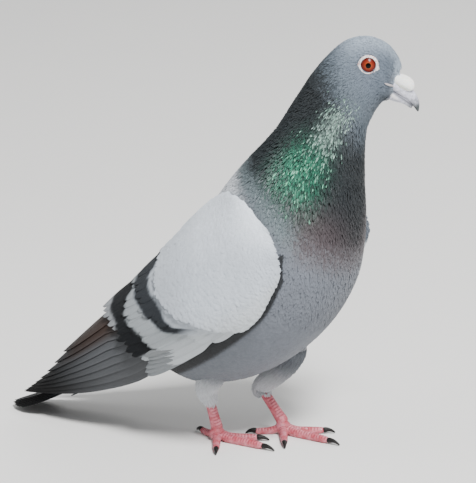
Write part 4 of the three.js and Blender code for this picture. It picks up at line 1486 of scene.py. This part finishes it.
# %% [markdown]
# ## Eyes
#
# A pigeon's eye is orange-red with a small black pupil and a lighter inner ring, under a
# clear wet cornea. The colours are rings about the eye's axis, so the ball gets a map
# that looks straight down that axis.

# %% Eyeballs
EYE_RADIUS = 6.0
IRIS = 4.05  # radius of what the lids leave open
EYE_MAP = 20  # width of the eye's own map
HEAD_SIDES = {"right": -1, "left": 1}


def at_eye(side, bm):
    """The bmesh set on one side of the head, its z pointing out along the eye's axis."""
    forward, up, out = corners_of(bm).T
    return moved_to(bm, head_point(forward, side * (EYE_OUT + out), up))


def eye_ball(side):
    bm = bmesh.new()
    bmesh.ops.create_uvsphere(bm, u_segments=48, v_segments=36, radius=EYE_RADIUS)
    flat = bm.loops.layers.uv.new("Iris")
    for face in bm.faces:
        for loop in face.loops:
            loop[flat].uv = (0.5 + loop.vert.co.x / EYE_MAP, 0.5 + loop.vert.co.y / EYE_MAP)
    for v in bm.verts:
        far = math.hypot(v.co.x, v.co.y)
        v.co.z += 0.35 * max(0, 1 - far / 3.4) if v.co.z > 0 else 0  # the cornea's bulge
    return at_eye(side, bm)


eye = Finish("wet eye", roughness=0.3, specular_ior_level=0.1, coat_weight=0.07, coat_roughness=0.05)
middle = {0: eye.map("Iris"), 1: (0.5, 0.5, 0)}
from_middle = eye.node("ShaderNodeVectorMath", {"operation": "SUBTRACT"}, middle)
length = eye.node("ShaderNodeVectorMath", {"operation": "LENGTH"}, {0: from_middle}, "Value")
streaks = eye.noise(60, detail=4, at=from_middle)
stops = [
    # the pupil, the inner ring, the iris, and the dark edge that the lids shade
    (0.0, (0, 0, 0, 1)), (0.32, (0, 0, 0, 1)),
    (0.35, colour(150, 74, 36)), (0.42, colour(132, 48, 26)),
    (0.68, colour(100, 28, 19)), (0.93, colour(46, 15, 12)), (1.0, (0.01, 0.006, 0.005, 1)),
]
ring_share = length * EYE_MAP / (IRIS + 0.3) + (streaks - 0.5) * 0.08
iris = eye.node("ShaderNodeValToRGB", {"stops": stops}, {0: ring_share}, "Color")
eye.give("Base Color", iris)
for side_name, side in HEAD_SIDES.items():
    ball = smooth_object("eyeball_" + side_name, eye_ball(side))
    dress(ball, eye.material, "eye_glass", "eye_" + side_name)

# %% [markdown]
# ## Eyelids
#
# Bare pale skin rings the eye, drawn out to a point before and behind. A ring is a
# section spun about the eye's axis, then pulled into its almond outline.

# %% Lids
LID_SECTION = (  # away from the eye's axis, and out from the eyeball's middle
    (3.85, 4.4), (4.0, 4.85), (4.25, 5.08), (4.6, 5.0), (5.0, 4.7), (5.35, 4.1), (5.1, 3.3), (4.4, 3.6),
)
FRONT_CORNER = math.radians(-25)


def eyelid(side):
    bm = bmesh.new()
    rim = [bm.verts.new((r, 0, h)) for r, h in LID_SECTION]
    edges = [bm.edges.new((p, q)) for p, q in zip(rim, rim[1:] + rim[:1])]
    bmesh.ops.spin(
        bm, geom=rim + edges, cent=(0, 0, 0), axis=(0, 0, 1), angle=2 * math.pi, steps=64, use_merge=True
    )
    for v in bm.verts:
        angle = math.atan2(v.co.y, v.co.x)
        outer = min(max((math.hypot(v.co.x, v.co.y) - 3.7) / 1.6, 0), 1)
        corner = hill(angle, FRONT_CORNER, 0.22) + 0.8 * hill(abs(angle), math.pi, 0.2)
        v.co.xy *= 1 + outer * 0.2 * corner
        v.co.z += 0.1 * math.sin(13 * angle) * outer * (1 - outer) - outer * 0.5 * corner
    return at_eye(side, bm)


lid = Finish("bare skin of the lids", roughness=0.55, subsurface_weight=0.1)
spots = lid.noise(1100, detail=2)
lid_tone = lid.mix(spots.between(0.5, 0.62), colour(232, 226, 222), colour(196, 140, 138))
lid.give("Base Color", lid_tone)
lid.bump(lid.cells(2600) * 0.6 + spots * 0.4, 0.0003)
for side_name, side in HEAD_SIDES.items():
    dress(smooth_object("eyelid_" + side_name, eyelid(side)), lid.material, "cere_skin")

# %% [markdown]
# ## Bill and cere
#
# The bill is two horn sheaths with a hooked upper tip. At its base sits the cere, two
# swollen lobes of powdery white skin over the nostrils. Both sheaths are spheres drawn
# along their own lines, as the body was.

# %% Bill
UPPER_BILL = np.array([
    # ridge forward and up, mouth edge forward and up, half width
    [8, -7.5, 8, -12.6, 4.6], [14, -9, 13, -16, 4.8], [19.5, -11.5, 17, -18.8, 4.4],
    [23.4, -15.2, 20.3, -21.1, 3.4], [25.7, -18.8, 22.6, -23, 2.6], [27, -22.6, 24.6, -25.2, 1.8],
    [26.9, -26.8, 26.1, -27.4, 0.6],
])
LOWER_BILL = np.array([
    [7.5, -12.5, 7.5, -18, 4.0], [13.3, -15, 11.5, -20.8, 3.8], [17.6, -17.7, 15.8, -22.2, 3.4],
    [21.1, -20, 19.4, -23.4, 2.5], [23.9, -23.2, 22.9, -25.8, 1.4],
])


def sheath(rows):
    """A place function for one half of the bill."""

    def place(way, angle, _):
        row = through(rows, (len(rows) - 1) * way)
        ring = round_end(way, 24)
        up = np.sin(angle) / 2 * ring
        side = row[:, 4] * power(np.cos(angle), 0.75) * ring
        forward = (row[:, 0] + row[:, 2]) / 2 + up * (row[:, 0] - row[:, 2])
        return head_point(forward, side, (row[:, 1] + row[:, 3]) / 2 + up * (row[:, 1] - row[:, 3]))

    return place


# %% [markdown]
# The horn is dark at the hook and pale on the lower edge, and painted shade darkens it
# along the mouth. The two lines are painted on the points. The dark hook comes from how
# near the tip a place is.

# %% Horn of the bill
def bill_tones(piece, lower):
    """Painted tones: red for the painted shade along the mouth's line, green for the pale lower edge."""
    forward, _, up = in_head(points_of(piece.data) / MM - ORIGIN).T
    mouth = up - np.interp(forward, UPPER_BILL[:, 2], UPPER_BILL[:, 3])
    line = hill(mouth, -0.2 if lower else 0.1, 0.8)
    pale = hill(mouth, -2.2, 0.9) * (1 - step(13, 18, forward)) if lower else 0 * up
    paint(piece.data, "Mouth", np.stack([line, pale, 0 * up, 1 + 0 * up], -1))


horn = Finish("bill horn", roughness=0.38)
from_tip = {0: horn.place(), 1: placed(head_point(26.5, 0, -26))}
reach = horn.node("ShaderNodeVectorMath", {"operation": "DISTANCE"}, from_tip, "Value") / MM
mottle = horn.noise(700, detail=4)
pale_horn = horn.mix(mottle.between(0.35, 0.7), colour(172, 174, 187), colour(220, 220, 232))
body_horn = horn.mix((reach + mottle * 4).between(4, 11), colour(50, 58, 60), pale_horn)
lighter = horn.mix(horn.channel("Mouth", "Green") * 0.7, body_horn, colour(226, 220, 214))
# painted shade along the mouth, where the two sheaths meet
painted_mouth_shade = horn.channel("Mouth", "Red") * (0.6 + 0.5 * mottle)
horn.give("Base Color", horn.mix(painted_mouth_shade, lighter, colour(58, 60, 66)))
horn.bump(mottle, 0.0002)
for half, rows, along in (("upper", UPPER_BILL, 60), ("lower", LOWER_BILL, 48)):
    piece = smooth_object(half + "_sheath", drawn_sphere(40, along, sheath(rows)))
    bill_tones(piece, lower=half == "lower")
    dress(piece, horn.material, "bill_horn", half + "_bill")

# %% [markdown]
# ## Corners of the mouth
#
# Behind the sheaths the mouth ends in a narrow fold of bare pale skin on each side. The
# folds lie on the face, so they need to know how far out it is at a place given in the
# head's own directions. Points of the face, filed by forward and up, answer that.

# %% How far out the face is
face_t, face_angle = np.meshgrid(
    np.linspace(13, FACE_END, 160), np.radians(np.arange(120, 300, 1.5)), indexing="ij"
)
face_points = in_head(body_at(face_t, face_angle).reshape(-1, 3))
face_guide = KDTree(len(face_points))
for i, (forward, _, up) in enumerate(face_points):
    face_guide.insert((forward, up, 0), i)
face_guide.balance()


def face_out(forward, up):
    """Distance of the face from the head's middle plane, from its four nearest points."""
    forward, up = np.broadcast_arrays(np.asarray(forward, float), np.asarray(up, float))
    out = np.empty(forward.shape)
    for k in np.ndindex(out.shape):
        near = face_guide.find_n((forward[k], up[k], 0), 4)
        out[k] = np.mean([abs(face_points[index, 1]) for _, index, _ in near])
    return out


print("face beside the eye:", face_out([-6, 0, 6], [0, 0, 0]).round(1), "mm from the middle")

# %% [markdown]
# Each fold is a small spindle along the end of the mouth's line, half sunk in the face.

# %% Folds of skin
FOLD_START = (8.5, -9.9)  # forward and up, in the head's directions


def mouth_fold(side):
    """A place function for one corner of the mouth."""

    def place(way, angle, ring):
        forward = FOLD_START[0] + 5 * way
        up = FOLD_START[1] - 0.55 * 5 * way
        out = np.maximum(face_out(forward, up), 4.0) + 0.9 * ring * np.cos(angle)
        return head_point(forward, side * out, up + 0.6 * ring * np.sin(angle))

    return place


soft = Finish("soft skin of the mouth", roughness=0.7, subsurface_weight=0.1)
creases = soft.noise(1800, detail=3)
soft.give("Base Color", soft.mix(creases, colour(150, 142, 144), colour(206, 190, 186)))
soft.bump(creases, 0.0003)
folds = joined([drawn_sphere(12, 16, mouth_fold(side)) for side in (-1, 1)])
folds.shade_smooth()
dress(mesh_object("mouth_corners", folds), soft.material, "cere_skin")

# %% [markdown]
# The cere's lobes are swollen in front and run out to a point behind. Its nostril is a
# slit under the front of each lobe, pressed into the mesh.

# %% Cere
CERE_FORWARD, CERE_UP = 18.0, -11.2
CERE_SLOPE = math.radians(-27)
LOBE_APART = 2.9  # from the middle plane to the middle of a lobe
LOBE_LONG, LOBE_WIDE, LOBE_HIGH = 6.8, 3.3, 3.7


def cere_lobe(side):
    """A place function for one lobe, its nostril pressed in."""

    def place(way, angle, _):
        along = 2 * way - 1
        ring = np.sqrt(np.clip(1 - along**2, 0, 1)) * (0.88 + 0.2 * along)
        across = side * LOBE_APART + LOBE_WIDE * ring * np.cos(angle)
        up = LOBE_HIGH * ring * np.sin(angle)
        slit = hill(up, -2.1, 0.5) * hill(along, 0.35, 0.4)
        across = across - side * 0.9 * slit * (np.sign(np.cos(angle)) == side)
        far = LOBE_LONG * along
        forward = CERE_FORWARD + far * math.cos(CERE_SLOPE) - up * math.sin(CERE_SLOPE)
        raised = CERE_UP + far * math.sin(CERE_SLOPE) + up * math.cos(CERE_SLOPE)
        return head_point(forward, across, raised)

    return place


powder = Finish("powdery cere", roughness=0.9, subsurface_weight=0.15)
dust = powder.noise(1200, detail=4).between(0.3, 0.75)
powder.give("Base Color", powder.mix(dust, colour(247, 240, 232), colour(255, 252, 247)))
powder.bump(powder.noise(2400, detail=3) * 0.6 + powder.noise(500) * 0.4, 0.0004)
lobes = joined([drawn_sphere(40, 40, cere_lobe(side)) for side in (-1, 1)])
lobes.shade_smooth()
dress(mesh_object("cere_lobes", lobes), powder.material, "cere_skin", "cere")

# %% [markdown]
# ## Feet
#
# Each foot is one skin over shank, ball and four toes, fused from closed tubes. Rows of
# horny plates run down its upper side and soft pads lie under it. The plates are
# raised in the mesh after fusing, from how far along its toe each point lies.

# %% Sizes and lines of the foot
TOE_LENGTH = {"inner": 17.8, "middle": 26, "outer": 18, "hind": 11}
TOE_RADIUS = {"inner": 2.4, "middle": 2.6, "outer": 2.4, "hind": 2.2}
CLAW_LENGTH = {"inner": 6.3, "middle": 7.4, "outer": 6, "hind": 5.2}
BALL_RADIUS = 4.4


def from_ankle(leg, name, out, z):
    """Places out from the ankle in the direction of a toe, at heights z."""
    heading = math.radians(leg["toes"][name])
    x, y, _ = leg["ankle"]
    return np.stack([x + out * math.cos(heading), y + out * math.sin(heading), z], -1)


def toe_reach(name):
    return TOE_LENGTH[name] + BALL_RADIUS


def toe_line(leg, name, out):
    """Places on a toe's middle line, which comes down from the ankle."""
    z = TOE_RADIUS[name] * 0.8 + 3 * np.clip(1 - out / 10, 0, 1) ** 2
    return from_ankle(leg, name, out, z)


def shank_line(leg, s):
    cuff, ankle = np.array(leg["cuff"], float), np.array(leg["ankle"], float)
    return cuff + (ankle - cuff) * np.asarray(s)[..., None]


# %% [markdown]
# A tube needs two directions square to its line at every place. They come from the
# upright, or from straight ahead where the line itself stands upright.

# %% Shank, ball and toes as tubes about those lines
def tube_about(line, radius, start, end, sharp=14):
    """A place function for a closed tube round line(s), from start to end."""

    def place(way, angle, _):
        s = start + (end - start) * way
        ahead = unit(line(s + 0.01) - line(s - 0.01))
        flat = np.cross(ahead, [0.0, 0.0, 1.0])
        upright = np.linalg.norm(flat, axis=-1, keepdims=True) < 0.3
        side = unit(np.where(upright, np.cross(ahead, [1.0, 0.0, 0.0]), flat))
        up = np.cross(side, ahead)
        r = (radius(s) * round_end(way, sharp))[:, None]
        return line(s) + r * (side * np.cos(angle)[:, None] + up * np.sin(angle)[:, None])

    return place


def ball_of_foot(leg):
    """A place function for the ball where all four toes meet."""
    x, y, _ = leg["ankle"]

    def place(way, angle, ring):
        out = BALL_RADIUS * ring
        z = BALL_RADIUS * (0.85 + 0.9 * (2 * way - 1))
        return np.stack([x + out * np.cos(angle), y + out * np.sin(angle), z], -1)

    return place


def plain_foot(side_name, leg):
    """Shank, ball and toes fused to one skin."""
    shank = tube_about(lambda s: shank_line(leg, s), lambda s: 2.75 + 0.8 * s**3, -0.3, 1.05)
    parts = [drawn_sphere(24, 30, shank), drawn_sphere(24, 16, ball_of_foot(leg))]
    for name in TOE_LENGTH:
        radius = lambda s, n=name: TOE_RADIUS[n] * (1 - 0.3 * (s / toe_reach(n)))
        line = lambda s, n=name: toe_line(leg, n, s)
        parts.append(drawn_sphere(20, 40, tube_about(line, radius, 0.5, toe_reach(name) + 0.3)))
    return fused("foot_" + side_name, parts, voxel=0.00038, smoothing=3)


# %% [markdown]
# A point of the fused skin belongs to the toe or shank whose line is nearest. How far
# along that line it lies says whether a plate rises there or a groove runs across.

# %% Raise plates and pads
PLATE = 1.7  # length of one horny plate
PAD = 4.2  # length of one soft pad


def nearest_on(points, line):
    """For each point, which point of a line is nearest, and how far it is."""
    away = np.linalg.norm(points[:, None] - line[None], axis=-1)
    near = away.argmin(1)
    return near, away[np.arange(len(points)), near]


def along_foot(points, leg):
    """How far along its toe or shank each point lies, and whether it is on the shank."""
    best, along = np.full(len(points), np.inf), np.zeros(len(points))
    for name in TOE_LENGTH:
        outs = np.linspace(3, toe_reach(name), 80)
        near, away = nearest_on(points, toe_line(leg, name, outs))
        along = np.where(away < best, outs[near], along)
        best = np.minimum(away, best)
    shank = np.linspace(-0.3, 0.85, 80)
    near, away = nearest_on(points, shank_line(leg, shank))
    length = np.linalg.norm(np.array(leg["ankle"]) - np.array(leg["cuff"]))
    on_shank = away < best
    return np.where(on_shank, shank[near] * length, along), on_shank


def raise_plates(mesh, leg):
    """Plates and pads raised in the mesh, and painted on it for the finish."""
    co = points_of(mesh)
    normals = np.empty(len(co) * 3, np.float32)
    mesh.vertices.foreach_get("normal", normals)
    normals = normals.reshape(-1, 3)
    along, on_shank = along_foot(co / MM - ORIGIN, leg)
    facing = np.where(on_shank, normals @ np.array([0.9, 0, 0.3]), normals[:, 2])
    upper = step(0.0, 0.5, facing)
    ridge = np.sin(math.pi * np.mod(along / PLATE, 1))
    plates = 0.2 * ridge**0.5 * upper
    pads = 0.18 * np.abs(np.sin(math.pi * along / PAD)) * (1 - upper) * (~on_shank)
    co = co + normals * ((plates + pads) * MM)[:, None]
    co[:, 2] = np.maximum(co[:, 2], ORIGIN[2] * MM)  # nothing under the floor
    mesh.vertices.foreach_set("co", co.astype(np.float32).ravel())
    # Red holds the grooves between plates, green where the plates are.
    paint(mesh, "Plates", np.stack([1 - ridge, upper, 0 * upper, 1 + 0 * upper], -1))
    mesh.update()


scales = Finish("scaly skin of the feet", roughness=0.5, subsurface_weight=0.12, coat_weight=0.15)
skin_cells = scales.cells(900)
powdered = scales.noise(260, detail=4).between(0.34, 0.74)
groove = scales.channel("Plates", "Red").between(0.25, 0.8) * scales.channel("Plates", "Green")
red = scales.mix(powdered, colour(174, 66, 80), colour(212, 138, 150))
red = scales.mix(groove * 0.85, red, colour(128, 40, 50))
scales.give("Base Color", scales.shaded(red, 0.85 + 0.3 * skin_cells))
scales.bump(skin_cells, 0.0003)
for side_name, leg in LEGS.items():
    piece = plain_foot(side_name, leg)
    raise_plates(piece.data, leg)
    toes = [f"toe_{name}_{side_name}" for name in TOE_LENGTH]
    dress(piece, scales.material, "leg_scales", "tarsus_" + side_name, *toes)

# %% [markdown]
# ## Claws
#
# Each claw is a short curved cone of dark horn that starts under the last plate.

# %% Claws
def claw_line(leg, name, s):
    """A place on the middle line of a claw: s from its root 0 to its tip 1."""
    out = toe_reach(name) - 0.6 + (CLAW_LENGTH[name] + 0.9) * s
    z = 1.9 + 0.6 * np.sin(math.pi * np.clip(s, 0, 1)) - 1.3 * s**2
    return from_ankle(leg, name, out, z)


claw_horn = Finish("claw horn", roughness=0.45, specular_ior_level=0.25)
rings = claw_horn.noise(1400, detail=3)
claw_tone = claw_horn.mix(rings.between(0.3, 0.7), colour(12, 11, 11), colour(34, 31, 30))
claw_horn.give("Base Color", claw_tone)
claw_horn.bump(rings, 0.0002)
for side_name, leg in LEGS.items():
    for name in CLAW_LENGTH:
        line = lambda s: claw_line(leg, name, s)
        place = tube_about(line, lambda s: 1.75 - 1.3 * s, 0.0, 1.0, sharp=10)
        piece = smooth_object(f"horn_{name}_{side_name}", drawn_sphere(20, 28, place))
        dress(piece, claw_horn.material, "claw_horn", f"claw_{name}_{side_name}")

# %% [markdown]
# ## Stage
#
# The bird stands on a plain pale floor, which is scenery and no piece of the part.

# %% Floor
floor_bm = bmesh.new()
bmesh.ops.create_grid(floor_bm, x_segments=2, y_segments=2, size=6)
floor_mesh = bpy.data.meshes.new("floor")
floor_bm.to_mesh(floor_mesh)
floor_bm.free()
floor = mesh_object("floor", floor_mesh)
pale = Finish("pale floor", roughness=0.9)
pale.give("Base Color", pale.mix(pale.noise(3), (0.78, 0.77, 0.75, 1), (0.82, 0.81, 0.79, 1)))
floor.data.materials.append(pale.material)

# %% [markdown]
# One soft lamp is the sun, a second fills its shadows, and a third lights the edges
# from behind. The world adds a grey daylight.

# %% World and lamps
world = bpy.data.worlds.new("studio")
world.use_nodes = True
sky = world.node_tree.nodes["Background"]
sky.inputs["Color"].default_value = (0.86, 0.88, 0.9, 1)
sky.inputs["Strength"].default_value = 0.46
bpy.context.scene.world = world


def aimed(made, place, target):
    """Put a lamp or camera in its place, looking at a target. All in metres."""
    made.location = place
    made.rotation_euler = (Vector(target) - Vector(place)).to_track_quat("-Z", "Y").to_euler()
    bpy.context.scene.collection.objects.link(made)


def softbox(name, place, size, power):
    lamp = bpy.data.lights.new(name, "AREA")
    lamp.size = size
    lamp.energy = power
    aimed(bpy.data.objects.new(name, lamp), place, (0, 0, 0.1))


softbox("key", (1.3, -1.15, 2.3), 0.7, 160)
softbox("fill", (-1.8, -1.2, 1.0), 1.6, 9)
softbox("back", (0.4, 2.0, 1.8), 1.2, 24)

# %% [markdown]
# The camera stands ahead of the bird's right side, a little above it, and looks at its
# middle through a long lens.

# %% Camera
AZIMUTH, ELEVATION, DISTANCE = math.radians(27), math.radians(14), 1.8
FOCAL_LENGTH, PICTURE_WIDTH = 3330, 476  # both in pixels
level = math.cos(ELEVATION)
away = np.array([math.sin(AZIMUTH) * level, -math.cos(AZIMUTH) * level, math.sin(ELEVATION)])
target = placed((-8.5, 0, 111.0))
lens = bpy.data.cameras.new("camera")
lens.sensor_fit = "HORIZONTAL"
lens.sensor_width = 36
lens.lens = FOCAL_LENGTH / PICTURE_WIDTH * lens.sensor_width
lens.clip_start = 0.05
camera = bpy.data.objects.new("camera", lens)
aimed(camera, tuple(target + away * DISTANCE), tuple(target))
bpy.context.scene.camera = camera
